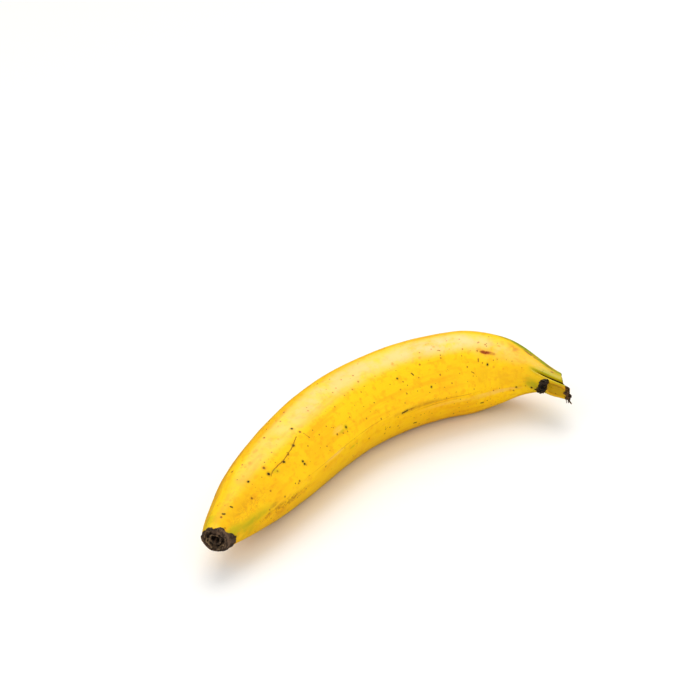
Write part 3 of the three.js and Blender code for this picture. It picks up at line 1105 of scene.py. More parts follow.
ZONES = (
    Zone("#f0a306", 0.7, 40, 38, 62, 26, 0.3, "mottle"),
    # Painted fill light: the lower flank round 214 degrees is painted a brighter, cleaner yellow to lift its
    # shade
    Zone("#ffcc00", 0.8, 90, 214, 110, 28, 0.5, "mottle"),
    Zone("#f8b804", 0.6, 24, 206, 40, 24, 0.5, "mottle"),
    Zone("#e2a602", 0.7, 14, 112, 30, 44, 0.4, "mottle"),
    # Partly painted sheen: the top flank round 100 degrees is painted paler and peachier under the broad
    # highlight, over the peel's own paler bloom
    Zone("#f9c67c", 0.7, 124, 98, 124, 28, 0.1, "mottle"),
    Zone("#f9cc92", 0.6, 178, 102, 48, 24, 0.1, "mottle"),
    Zone("#c3ae06", 0.7, 12, 174, 26, 22, 0.1, "mottle"),
    Zone("#aaa00a", 0.65, 17, 176, 14, 10, 0.1, "mottle"),
    Zone("#b9aa08", 0.8, 2, 165, 10, 30, 0.2, "mottle"),
    Zone("#c4aa04", 0.85, 6, 200, 20, 36, 0.2, "mottle"),
    Zone("#b3ab0c", 0.6, 2, 62, 10, 44, 0.2, "mottle"),
    Zone("#a8620a", 0.75, 37, 192, 27, 13, 0.3, "net"),
    Zone("#c07c10", 0.4, 18, 146, 26, 26, 0.2, "net"),
    Zone("#c89010", 0.7, 150, 179, 34, 6.0, 0.1, "mottle"),
    Zone("#a86c0c", 0.7, 154, 179, 24, 1.5, 0.2, "streak"),
    Zone("#6b4008", 0.55, 143, 178.4, 7, 1.2, 0.2, "mottle"),
    Zone("#b47c10", 0.6, 160, 185, 24, 1.0, 0.3, "mottle"),
    Zone("#c9860a", 0.8, 172, 181, 34, 0.9, 0.4),
    Zone("#b97c0a", 0.7, 92, 175, 50, 0.8, 0.3),
    Zone("#f3c566", 0.5, 176, 189, 32, 4.6, 0.2),
    Zone("#efc068", 0.5, 206, 193, 22, 7, 0.3),
    Zone("#f1c466", 0.45, 206, 112, 22, 26, 0.2, "mottle"),
    Zone("#d08a1c", 0.8, 213.5, 84, 4.8, 16, 0.1, "blotch"),
    Zone("#e6aa00", 0.6, 208, 160, 26, 28, 0.2, "mottle"),
    Zone("#ee8634", 0.75, 201.0, 118.5, 7.0, 9.5, 0.1, "mottle"),
    Zone("#93300c", 0.95, 199.2, 118.6, 3.6, 4.4, 0.4, "blotch"),
    Zone("#86260a", 0.95, 202.8, 117.8, 3.8, 4.6, 0.4, "mottle"),
    Zone("#a3a80e", 0.75, 238, 8, 42, 64, 0.1),
    Zone("#92a010", 0.85, 244, 8, 28, 62, 0.2, "mottle"),
    Zone("#8a9a12", 0.95, 216, 52, 27, 23, 0.5, "mottle"),
    Zone("#8a9a12", 0.95, 234, 47, 26, 28, 0.8, "mottle"),
    Zone("#c99c10", 0.8, 234, 56, 8, 16, 0.4),
    Zone("#7a4a2a", 0.9, 221, 70, 6, 3.0, 0.3, "blotch"),
    Zone("#7a4a2a", 0.8, 233, 66, 4, 4.0, 0.3, "blotch"),
    Zone("#97980e", 0.75, 238, 108, 16, 30, 0.4),
    Zone("#b0a00a", 0.6, 231, 175, 8, 44, 0.3, "mottle"),
    Zone("#7a4a08", 0.85, 243.5, 148, 4.5, 4.4, 0.3, "mottle"),
    Zone("#5e3608", 0.9, 245.5, 143, 6.5, 2.0, 0.3, "mottle"),
)


@dataclass(frozen=True)
class MarkLook:
    """How a kind of mark is painted: its colour, its share of cover, and how soft its edge is."""

    colour: str
    cover: float
    inner: float
    outer: float
    depth: float = 0.0
    halo: str = ""


MARK_LOOKS = {
    MarkKind.GREEN: MarkLook("#9a9f0c", 0.45, 0.1, 1.5),
    MarkKind.ORANGE: MarkLook("#d88a0a", 0.65, 0.2, 1.5),
    MarkKind.SCUFF: MarkLook("#f0c068", 0.5, 0.2, 1.4),
    MarkKind.STREAK: MarkLook("#a06c0c", 0.6, 0.2, 1.4),
    MarkKind.BROWN: MarkLook("#6b3a08", 0.9, 0.35, 1.1, -0.05, "#cf8c08"),
    MarkKind.BLACK: MarkLook("#2e1804", 1.0, 0.5, 1.0, 0.08, "#a88c0c"),
}
BROKEN_MARKS = (MarkKind.SCUFF, MarkKind.ORANGE, MarkKind.STREAK)


@dataclass(frozen=True)
class PeelFinish:
    """Ripe plantain peel: a waxy skin over yellow flesh, with a broad soft sheen.

    The eye sees a warm yellow that is paler and duller on the ridges, fine lengthwise streaks, green
    that lingers on the stalk and tip, freckles, and black and brown marks that are flat or a little sunk.
    The top flank is paler partly in its own bloom and partly as painted sheen, the lower flank is
    painted a brighter yellow as painted fill light, and the depth of the stalk's split is painted shade.
    """

    yellow: str = "#fcc800"
    deep_yellow: str = "#f4b000"
    pale_yellow: str = "#fdd00c"
    streak: str = "#ea9a02"
    olive: str = "#bfa80c"
    leaf_green: str = "#8f9a0e"
    freckle: str = "#a2580c"
    flesh: str = "#bc9304"
    flesh_streak: str = "#8a5a0c"
    rim: str = "#dd9c16"
    dry: str = "#2e1d0f"
    dry_brown: str = "#6b4826"
    crack: str = "#80500a"
    roughness: float = 0.31
    ior: float = 1.45
    gloss: float = 0.5
    gloss_tint: str = "#fff3cc"
    dry_roughness: float = 0.8
    patch_size: float = 26.0
    mottle_size: float = 9.0
    blotch_size: float = 3.2
    streak_length: float = 45.0
    streak_width: float = 3.0
    fine_streaks: float = 4.0
    net_size: float = 3.4
    net_distortion: float = 0.8
    net_vein: float = 0.07
    green_wobble: float = 26.0
    grain_size: float = 0.9
    grain_depth: float = 0.02
    streak_depth: float = 0.05
    freckle_cell: float = 3.4
    spot_cell: float = 8.0
    halo_inner: float = 0.8
    halo_outer: float = 2.1
    halo_cover: float = 0.55
    edge_wobble: float = 0.7
    edge_wobble_size: float = 1.1
    gaps: tuple[float, float] = (0.35, 0.55)
    gap_cover: float = 0.4
    crack_line: tuple[tuple[float, float], ...] = (
        (38.0, 135.0), (40.0, 131.5), (44.0, 130.5), (50.0, 131.0), (54.0, 129.0), (59.0, 126.5),
        (62.5, 123.0), (65.5, 120.0),
    )
    crack_reach: float = 17.0
    crack_half_width: float = 0.09
    crack_fades_at: float = 0.36
    crack_cover: float = 0.85
    front: float = 140.0
    front_ends: tuple[float, float] = (0.1, 0.3)
    spot_edge: float = 0.3

    def build(self, form: FruitForm) -> bpy.types.Material:
        """Paints the peel in layers over a mottled yellow.

        Args:
            form: the fruit's shape, which places the marks.

        Returns:
            The material.
        """
        material = bpy.data.materials.new("plantain_peel")
        material.use_nodes = True
        tree = material.node_tree
        shader = tree.nodes["Principled BSDF"]
        grown = add_node(tree, "Attribute", attribute_name=Layer.GROWN.value).outputs["Vector"]
        noises = self.noises(tree, grown)
        wobble = self.wobbled(tree, grown)
        layers = self.ground_layers(tree, grown, noises)
        heights = [(noises["grain"], self.grain_depth), (noises["streak"], self.streak_depth)]
        torn, dry = self.stalk_layers(tree, noises)
        layers += torn + self.zone_layers(tree, wobble, noises)
        masks = {}
        for kind, look in MARK_LOOKS.items():
            distance = self.mark_distance(tree, wobble, form, kind)
            if look.halo:
                halo = self.painted(tree, distance, (self.halo_inner, self.halo_outer), self.halo_cover)
                layers.append((halo, look.halo))
            mask = self.painted(tree, distance, (look.inner, look.outer), look.cover)
            if kind in BROKEN_MARKS:
                mask = self.broken(tree, mask, noises)
            layers.append((mask, look.colour))
            heights.append((mask, look.depth))
            masks[kind] = mask
        layers.append((self.crack_mask(tree, wobble), self.crack))
        layers += self.scattered_layers(tree, grown)
        # dry holds the split's painted shade and the dried ends, driest last
        layers += dry
        colour = self.lay_over(tree, linear_colour(self.yellow), layers)
        tree.links.new(colour, shader.inputs["Base Color"])
        dried_ends = dry[1][0]
        dull = add_node(tree, "Math", {0: dried_ends, 1: masks[MarkKind.BLACK]}, operation="MAXIMUM")
        rough = add_node(tree, "MapRange", {
            "Value": dull.outputs[0], "To Min": self.roughness, "To Max": self.dry_roughness,
        })
        tree.links.new(rough.outputs[0], shader.inputs["Roughness"])
        tree.links.new(self.relief(tree, heights), shader.inputs["Normal"])
        shader.inputs["IOR"].default_value = self.ior
        shader.inputs["Specular IOR Level"].default_value = self.gloss
        shader.inputs["Specular Tint"].default_value = linear_colour(self.gloss_tint)
        return material

    def lay_over(
        self, tree: bpy.types.NodeTree, ground: object, layers: Iterable[tuple[bpy.types.NodeSocket, str]]
    ) -> bpy.types.NodeSocket:
        """Lays each colour over what is below it, as far as its mask says.

        Args:
            tree: the material's node tree.
            ground: the linear colour under all layers.
            layers: for each layer, its mask and its colour.

        Returns:
            The colour that is seen.
        """
        colour = ground
        for mask, code in layers:
            laid = add_node(tree, "Mix", {
                MIX_COVER: mask, MIX_BELOW: colour, MIX_ABOVE: linear_colour(code),
            }, data_type="RGBA")
            colour = laid.outputs[MIX_RESULT]
        return colour

    def relief(
        self, tree: bpy.types.NodeTree, heights: Iterable[tuple[bpy.types.NodeSocket, float]]
    ) -> bpy.types.NodeSocket:
        """Adds up the heights to one bump.

        Args:
            tree: the material's node tree.
            heights: for each height, its socket and its depth in millimetres.

        Returns:
            The normal of the uneven surface.
        """
        total = 0.0
        for height, depth in heights:
            added = add_node(tree, "Math", {0: height, 1: depth, 2: total}, operation="MULTIPLY_ADD")
            total = added.outputs[0]
        return add_node(tree, "Bump", {"Height": total, "Distance": MILLIMETRE}).outputs["Normal"]

    def noises(
        self, tree: bpy.types.NodeTree, grown: bpy.types.NodeSocket
    ) -> dict[str, bpy.types.NodeSocket]:
        """Makes the unevenness that the layers share: patches, mottling, streaks, net and grain.

        Args:
            tree: the material's node tree.
            grown: the place on the straight fruit, in millimetres.

        Returns:
            For each name, a pattern between 0 and 1.
        """
        lengthwise, fine_lengthwise = (
            add_node(tree, "Mapping", {
                "Vector": grown,
                "Scale": (finer / self.streak_length, finer / self.streak_width, finer / self.streak_width),
            }, vector_type="POINT").outputs[0]
            for finer in (1, self.fine_streaks)
        )
        # For each: where it is read, its scale, its detail and its roughness
        recipes = {
            "patch": (grown, 1 / self.patch_size, 3, 0.5),
            "mottle": (grown, 1 / self.mottle_size, 4, 0.6),
            "blotch": (grown, 1 / self.blotch_size, 3, 0.6),
            "streak": (lengthwise, 1.0, 3, 0.6),
            "fine_streak": (fine_lengthwise, 1.0, 2, 0.6),
            "grain": (grown, 1 / self.grain_size, 2, 0.6),
        }
        noises = {
            name: add_node(tree, "TexNoise", {
                "Vector": place, "Scale": scale, "Detail": detail, "Roughness": rough,
            }).outputs[0]
            for name, (place, scale, detail, rough) in recipes.items()
        }
        ridged = add_node(tree, "TexNoise", {
            "Vector": grown, "Scale": 1 / self.net_size, "Detail": 3, "Roughness": 0.6,
            "Distortion": self.net_distortion,
        }).outputs[0]
        from_vein = add_node(tree, "Math", {0: ridged, 1: 0.5}, operation="SUBTRACT").outputs[0]
        from_vein = add_node(tree, "Math", {0: from_vein}, operation="ABSOLUTE").outputs[0]
        noises["net"] = add_node(tree, "MapRange", {
            "Value": from_vein, "From Min": 0.0, "From Max": self.net_vein, "To Min": 1.0, "To Max": 0.0,
        }).outputs[0]
        return noises

    def wobbled(self, tree: bpy.types.NodeTree, grown: bpy.types.NodeSocket) -> bpy.types.NodeSocket:
        """Moves the place on the fruit a little at random, so that marks have uneven edges.

        Args:
            tree: the material's node tree.
            grown: the place on the straight fruit, in millimetres.

        Returns:
            The moved place.
        """
        random_colour = add_node(tree, "TexNoise", {
            "Vector": grown, "Scale": 1 / self.edge_wobble_size, "Detail": 2,
        }).outputs["Color"]
        centred = add_node(tree, "VectorMath", {0: random_colour, 1: (0.5, 0.5, 0.5)}, operation="SUBTRACT")
        return add_node(tree, "VectorMath", {
            0: centred.outputs[0], 1: (self.edge_wobble,) * 3, 2: grown,
        }, operation="MULTIPLY_ADD").outputs[0]

    def ground_layers(
        self, tree: bpy.types.NodeTree, grown: bpy.types.NodeSocket, noises: dict[str, bpy.types.NodeSocket]
    ) -> list[tuple[bpy.types.NodeSocket, str]]:
        """Makes the broad colour: patches, mottling, streaks, and the green stalk.

        Args:
            tree: the material's node tree.
            grown: the place on the straight fruit, in millimetres.
            noises: the shared patterns.

        Returns:
            For each layer, its mask and its colour.
        """
        # For each: its pattern, where it starts and is full, its cover and its colour
        ranges = (
            ("patch", 0.42, 0.68, 0.55, self.deep_yellow),
            ("mottle", 0.5, 0.7, 0.4, self.pale_yellow),
            ("blotch", 0.5, 0.66, 0.42, self.streak),
            ("streak", 0.52, 0.68, 0.4, self.streak),
            ("fine_streak", 0.52, 0.7, 0.3, self.pale_yellow),
        )
        layers = [
            (add_node(tree, "MapRange", {
                "Value": noises[name], "From Min": low, "From Max": high, "To Max": cover,
            }, interpolation_type="SMOOTHSTEP").outputs[0], colour)
            for name, low, high, cover, colour in ranges
        ]
        along = add_node(tree, "SeparateXYZ", {0: grown}).outputs[0]
        uneven = add_node(tree, "Math", {
            0: noises["streak"], 1: self.green_wobble, 2: along,
        }, operation="MULTIPLY_ADD")
        for start, end, cover, colour in ((222, 262, 0.75, self.olive), (238, 262, 0.3, self.leaf_green)):
            layers.append((add_node(tree, "MapRange", {
                "Value": uneven.outputs[0], "From Min": start, "From Max": end, "To Max": cover,
            }, interpolation_type="SMOOTHSTEP").outputs[0], colour))
        return layers

    def zone_layers(
        self, tree: bpy.types.NodeTree, place: bpy.types.NodeSocket, noises: dict[str, bpy.types.NodeSocket]
    ) -> list[tuple[bpy.types.NodeSocket, str]]:
        """Makes the tints that follow the ridges, on the skin unrolled to length and angle.

        Args:
            tree: the material's node tree.
            place: the place on the fruit, with uneven edges.
            noises: the shared patterns.

        Returns:
            For each tint, its mask and its colour.
        """
        parts = add_node(tree, "SeparateXYZ", {0: place}).outputs
        turn = add_node(tree, "Math", {0: parts[2], 1: parts[1]}, operation="ARCTAN2").outputs[0]
        turn = add_node(tree, "Math", {0: turn, 1: math.tau}, operation="FLOORED_MODULO").outputs[0]
        unrolled = add_node(tree, "CombineXYZ", {0: parts[0], 1: turn}).outputs[0]
        # Where each pattern's gaps end and its full cover starts
        ranges = {"streak": (0.3, 0.55), "mottle": (0.32, 0.55), "blotch": (0.38, 0.5), "net": (0.2, 0.9)}
        layers = []
        for zone in ZONES:
            scale = Vector((1 / zone.half_length, 1 / math.radians(zone.half_width), 0.0))
            centre = Vector((zone.along, math.radians(zone.around), 0.0))
            local = add_node(tree, "VectorMath", {
                0: unrolled, 1: scale, 2: -centre * scale,
            }, operation="MULTIPLY_ADD").outputs[0]
            distance = add_node(tree, "VectorMath", {0: local}, operation="LENGTH").outputs["Value"]
            tint = self.painted(tree, distance, (zone.hard, 1.0), zone.cover)
            kept = self.share_of(tree, noises[zone.broken_by], *ranges[zone.broken_by])
            mask = add_node(tree, "Math", {0: tint, 1: kept}, operation="MULTIPLY").outputs[0]
            layers.append((mask, zone.colour))
        return layers

    def mark_distance(
        self, tree: bpy.types.NodeTree, place: bpy.types.NodeSocket, form: FruitForm, kind: MarkKind
    ) -> bpy.types.NodeSocket:
        """How far every point is from the nearest mark of a kind.

        Args:
            tree: the material's node tree.
            place: the place on the fruit, with uneven edges.
            form: the fruit's shape.
            kind: the kind of mark.

        Returns:
            The distance, which is 1 on a mark's edge.
        """
        nearest = None
        for centre, half in (spot for mark in FRONT_MARKS if mark.kind is kind for spot in mark.spots(form)):
            scale = Vector((1 / half.x, 1 / half.y, 1 / half.z))
            local = add_node(tree, "VectorMath", {
                0: place, 1: scale, 2: -centre * scale,
            }, operation="MULTIPLY_ADD").outputs[0]
            distance = add_node(tree, "VectorMath", {0: local}, operation="LENGTH").outputs["Value"]
            if nearest is not None:
                distance = add_node(tree, "Math", {0: nearest, 1: distance}, operation="MINIMUM").outputs[0]
            nearest = distance
        return nearest

    def painted(
        self,
        tree: bpy.types.NodeTree,
        distance: bpy.types.NodeSocket,
        edge: tuple[float, float],
        cover: float,
    ) -> bpy.types.NodeSocket:
        """A mask that falls from its cover to nothing across a mark's soft edge."""
        return add_node(tree, "MapRange", {
            "Value": distance, "From Min": edge[0], "From Max": edge[1], "To Min": cover, "To Max": 0.0,
        }, interpolation_type="SMOOTHSTEP").outputs[0]

    def broken(
        self, tree: bpy.types.NodeTree, mask: bpy.types.NodeSocket, noises: dict[str, bpy.types.NodeSocket]
    ) -> bpy.types.NodeSocket:
        """Breaks a mask up along the fruit's fine streaks."""
        gaps = add_node(tree, "MapRange", {
            "Value": noises["fine_streak"], "From Min": self.gaps[0], "From Max": self.gaps[1],
            "To Min": self.gap_cover,
        }).outputs[0]
        return add_node(tree, "Math", {0: mask, 1: gaps}, operation="MULTIPLY").outputs[0]

    def crack_mask(self, tree: bpy.types.NodeTree, place: bpy.types.NodeSocket) -> bpy.types.NodeSocket:
        """Draws a thin crooked line across the tip's face, as a curve of angle over length.

        Args:
            tree: the material's node tree.
            place: the place on the fruit, with uneven edges.

        Returns:
            The line's mask.
        """
        full_turn = 360
        start, first = self.crack_line[0]
        end, last = self.crack_line[-1]
        parts = add_node(tree, "SeparateXYZ", {0: place}).outputs
        curve = add_node(tree, "FloatCurve", {"Value": self.share_of(tree, parts[0], start, end)})
        line = curve.mapping.curves[0]
        line.points[0].location = (0, first / full_turn)
        line.points[-1].location = (1, last / full_turn)
        for along, around in self.crack_line[1:-1]:
            line.points.new((along - start) / (end - start), around / full_turn)
        curve.mapping.update()
        around = add_node(tree, "Math", {0: parts[2], 1: parts[1]}, operation="ARCTAN2").outputs[0]
        target = add_node(tree, "Math", {0: curve.outputs[0], 1: math.tau}, operation="MULTIPLY").outputs[0]
        turn = add_node(tree, "Math", {0: around, 1: target}, operation="SUBTRACT").outputs[0]
        off = add_node(tree, "Math", {0: turn, 1: self.crack_reach}, operation="MULTIPLY").outputs[0]
        off = add_node(tree, "Math", {0: off}, operation="ABSOLUTE").outputs[0]
        on_line = add_node(tree, "MapRange", {
            "Value": off, "From Min": self.crack_half_width, "From Max": self.crack_fades_at,
            "To Min": self.crack_cover, "To Max": 0.0,
        }).outputs[0]
        within = add_node(tree, "Math", {
            0: parts[0], 1: (start + end) / 2, 2: (end - start) / 2,
        }, operation="COMPARE").outputs[0]
        return add_node(tree, "Math", {0: on_line, 1: within}, operation="MULTIPLY").outputs[0]

    def share_of(
        self, tree: bpy.types.NodeTree, value: bpy.types.NodeSocket, start: float, end: float
    ) -> bpy.types.NodeSocket:
        """How far a value has come from start to end, from 0 to 1."""
        return add_node(tree, "MapRange", {"Value": value, "From Min": start, "From Max": end}).outputs[0]

    def scattered_layers(
        self, tree: bpy.types.NodeTree, grown: bpy.types.NodeSocket
    ) -> list[tuple[bpy.types.NodeSocket, str]]:
        """Scatters freckles all over, and dark spots and dashes away from the front marks.

        Args:
            tree: the material's node tree.
            grown: the place on the straight fruit, in millimetres.

        Returns:
            For each kind of spot, its mask and its colour.
        """
        direction = (0.0, math.cos(math.radians(self.front)), math.sin(math.radians(self.front)))
        flat = add_node(tree, "VectorMath", {0: grown, 1: (0, 1, 1)}, operation="MULTIPLY").outputs[0]
        outwards = add_node(tree, "VectorMath", {0: flat}, operation="NORMALIZE").outputs[0]
        facing = add_node(tree, "VectorMath", {0: outwards, 1: direction}, operation="DOT_PRODUCT")
        hidden = add_node(tree, "MapRange", {
            "Value": facing.outputs["Value"], "From Min": self.front_ends[0], "From Max": self.front_ends[1],
            "To Min": 1.0, "To Max": 0.0,
        }).outputs[0]
        # For each: stretch, cell size, share without a spot, largest radius in cells, cover, colour, limit
        recipes = (
            ((1, 1, 1), self.freckle_cell, 0.2, 0.22, 0.75, self.freckle, None),
            ((1, 1, 1), self.freckle_cell * 0.75, 0.6, 0.19, 0.85, MARK_LOOKS[MarkKind.BROWN].colour, None),
            ((1, 1, 1), self.spot_cell * 0.6, 0.5, 0.2, 0.55, self.streak, None),
            ((1, 1, 1), self.spot_cell, 0.45, 0.16, 0.95, MARK_LOOKS[MarkKind.BLACK].colour, hidden),
            ((0.35, 1, 1), self.spot_cell * 0.9, 0.6, 0.14, 0.85, MARK_LOOKS[MarkKind.BROWN].colour, hidden),
        )
        layers = []
        for stretch, cell, empty, size, cover, colour, limit in recipes:
            place = add_node(tree, "Mapping", {
                "Vector": grown, "Scale": tuple(part / cell for part in stretch), "Location": (cell, cell, 0),
            }, vector_type="POINT").outputs[0]
            cells = add_node(tree, "TexVoronoi", {"Vector": place, "Scale": 1.0})
            chance = add_node(tree, "SeparateColor", {0: cells.outputs["Color"]}).outputs[0]
            radius = add_node(tree, "MapRange", {
                "Value": chance, "From Min": empty, "From Max": 1.0, "To Min": 0.0, "To Max": size,
            }).outputs[0]
            inside = add_node(tree, "Math", {
                0: radius, 1: cells.outputs["Distance"],
            }, operation="SUBTRACT").outputs[0]
            mask = add_node(tree, "MapRange", {
                "Value": inside, "From Min": 0.0, "From Max": size * self.spot_edge, "To Max": cover,
            }).outputs[0]
            if limit is not None:
                mask = add_node(tree, "Math", {0: mask, 1: limit}, operation="MULTIPLY").outputs[0]
            layers.append((mask, colour))
        return layers

    def stalk_layers(
        self, tree: bpy.types.NodeTree, noises: dict[str, bpy.types.NodeSocket]
    ) -> tuple[list[tuple[bpy.types.NodeSocket, str]], list[tuple[bpy.types.NodeSocket, str]]]:
        """Makes the torn face with its rim, then the painted shade in the split's depth and the dried ends,
        driest last.

        Args:
            tree: the material's node tree.
            noises: the shared patterns.

        Returns:
            The torn face's layers, and the layers of the split's painted shade and the dried ends, each with
            its mask and its colour.
        """
        torn, cleft, dried = (
            add_node(tree, "Attribute", attribute_name=layer.value).outputs["Fac"]
            for layer in (Layer.TORN, Layer.CLEFT, Layer.DRIED)
        )
        in_streak = self.share_of(tree, noises["fine_streak"], 0.5, 0.7)
        well_inside = self.share_of(tree, torn, 0.4, 0.9)
        streaked = add_node(tree, "Math", {0: in_streak, 1: well_inside}, operation="MULTIPLY").outputs[0]
        uneven = add_node(tree, "Math", {0: noises["grain"], 1: 0.5, 2: dried}, operation="MULTIPLY_ADD")
        dry_mask = self.share_of(tree, uneven.outputs[0], 0.5, 0.9)
        in_fibre = self.share_of(tree, noises["fine_streak"], 0.45, 0.65)
        dry_brown = add_node(tree, "Math", {0: dry_mask, 1: in_fibre}, operation="MULTIPLY").outputs[0]
        face = [
            (self.share_of(tree, torn, 0.02, 0.3), self.rim),
            (self.share_of(tree, torn, 0.3, 0.8), self.flesh),
            (streaked, self.flesh_streak),
        ]
        # Painted shade: the depth of the split is painted in the dry tissue's dark colour
        shade_in_split = self.share_of(tree, cleft, 0.35, 0.75)
        return face, [(shade_in_split, self.dry), (dry_mask, self.dry), (dry_brown, self.dry_brown)]


@dataclass(frozen=True)
class DryTissueFinish:
    """Dried, woody plant tissue: almost black and dull, its raised fibres and lumps brown and pale, partly
    painted highlight.

    Where it has rings, each is a distance from the fruit's middle line and a colour, and the eye sees
    broken brown-grey rings round a black hole: partly painted shade in the hole and the groove, and partly
    painted highlight on the raised inner ring and the rim's inner slope.
    """

    name: str
    dark: str = "#1b1109"
    brown: str = "#563b24"
    pale: str = "#94806a"
    rings: tuple[tuple[float, str], ...] = ()
    ring_range: float = 8.0
    ring_wobble: float = 2.0
    arc_length: float = 4.0
    arc_gaps: float = 0.75
    ringed_cover: float = 0.35
    plain_cover: float = 0.7
    roughness: float = 0.72
    gloss: float = 0.4
    fibre_length: float = 5.0
    fibre_width: float = 0.7
    lump_size: float = 2.0
    relief_depth: float = 0.25

    def build(self) -> bpy.types.Material:
        """Makes the material from rings, lengthwise fibres and lumps.

        Returns:
            The material.
        """
        material = bpy.data.materials.new(self.name)
        material.use_nodes = True
        tree = material.node_tree
        shader = tree.nodes["Principled BSDF"]
        grown = add_node(tree, "Attribute", attribute_name=Layer.GROWN.value).outputs["Vector"]
        lengthwise = add_node(tree, "Mapping", {
            "Vector": grown, "Scale": (1 / self.fibre_length, 1 / self.fibre_width, 1 / self.fibre_width),
        }, vector_type="POINT").outputs[0]
        fibres = add_node(tree, "TexNoise", {"Vector": lengthwise, "Scale": 1.0, "Detail": 3}).outputs[0]
        lumps = add_node(tree, "TexNoise", {
            "Vector": grown, "Scale": 1 / self.lump_size, "Detail": 3,
        }).outputs[0]
        colour = self.ringed(tree, grown, lumps) if self.rings else linear_colour(self.dark)
        cover = self.ringed_cover if self.rings else self.plain_cover
        # Brown and pale where the fibres and lumps stand up: partly their own colour, partly painted
        # highlight
        for value, low, high, code in (
            (lumps, 0.42, 0.62, self.brown), (fibres, 0.5, 0.62, self.brown), (fibres, 0.6, 0.72, self.pale),
        ):
            mask = add_node(tree, "MapRange", {
                "Value": value, "From Min": low, "From Max": high, "To Max": cover,
            }, interpolation_type="SMOOTHSTEP").outputs[0]
            colour = add_node(tree, "Mix", {
                MIX_COVER: mask, MIX_BELOW: colour, MIX_ABOVE: linear_colour(code),
            }, data_type="RGBA").outputs[MIX_RESULT]
        tree.links.new(colour, shader.inputs["Base Color"])
        height = add_node(tree, "Math", {0: fibres, 1: lumps}, operation="ADD").outputs[0]
        relief = add_node(tree, "Bump", {"Height": height, "Distance": self.relief_depth * MILLIMETRE})
        tree.links.new(relief.outputs["Normal"], shader.inputs["Normal"])
        shader.inputs["Roughness"].default_value = self.roughness
        shader.inputs["Specular IOR Level"].default_value = self.gloss
        return material

    def ringed(
        self, tree: bpy.types.NodeTree, grown: bpy.types.NodeSocket, lumps: bpy.types.NodeSocket
    ) -> bpy.types.NodeSocket:
        """Colours by the distance from the middle line, as wavy rings broken into arcs.

        Args:
            tree: the material's node tree.
            grown: the place on the straight fruit, in millimetres.
            lumps: the pattern that makes the rings wavy.

        Returns:
            The rings' colour.
        """
        across = add_node(tree, "VectorMath", {0: grown, 1: (0, 1, 1)}, operation="MULTIPLY").outputs[0]
        reach = add_node(tree, "VectorMath", {0: across}, operation="LENGTH").outputs["Value"]
        wavy = add_node(tree, "Math", {0: lumps, 1: self.ring_wobble, 2: reach}, operation="MULTIPLY_ADD")
        start = self.ring_wobble / 2
        share = add_node(tree, "MapRange", {
            "Value": wavy.outputs[0], "From Min": start, "From Max": start + self.ring_range,
        }).outputs[0]
        ramp = add_node(tree, "ValToRGB", {0: share})
        stops = ramp.color_ramp.elements
        anywhere = 0.5      # every stop is moved to its ring below
        while len(stops) < len(self.rings):
            stops.new(anywhere)
        for stop, (radius, code) in zip(stops, self.rings):
            stop.position = radius / self.ring_range
            stop.color = linear_colour(code)
        patches = add_node(tree, "TexNoise", {
            "Vector": grown, "Scale": 1 / self.arc_length, "Detail": 2,
        }).outputs[0]
        broken = add_node(tree, "MapRange", {
            "Value": patches, "From Min": 0.42, "From Max": 0.56, "To Max": self.arc_gaps,
        }, interpolation_type="SMOOTHSTEP").outputs[0]
        arcs = add_node(tree, "Mix", {
            MIX_COVER: broken, MIX_BELOW: ramp.outputs["Color"], MIX_ABOVE: linear_colour(self.dark),
        }, data_type="RGBA")
        return arcs.outputs[MIX_RESULT]


# Partly painted light: the darkest rings fill the hole and the groove as painted shade, the palest lie on the
# raised inner ring and the rim's inner slope as painted highlight, over the scar's own dark browns
BLOSSOM_RINGS = (
    (1.6, "#050403"), (2.1, "#1a130d"), (2.7, "#8c7150"), (3.1, "#2c2018"),
    (3.5, "#070503"), (4.3, "#120d08"), (4.8, "#a2845f"), (5.2, "#3a2b1e"),
    (5.9, "#6d543b"), (6.5, "#20160e"), (7.0, "#6a513c"), (7.8, "#4f3c2c"),
)


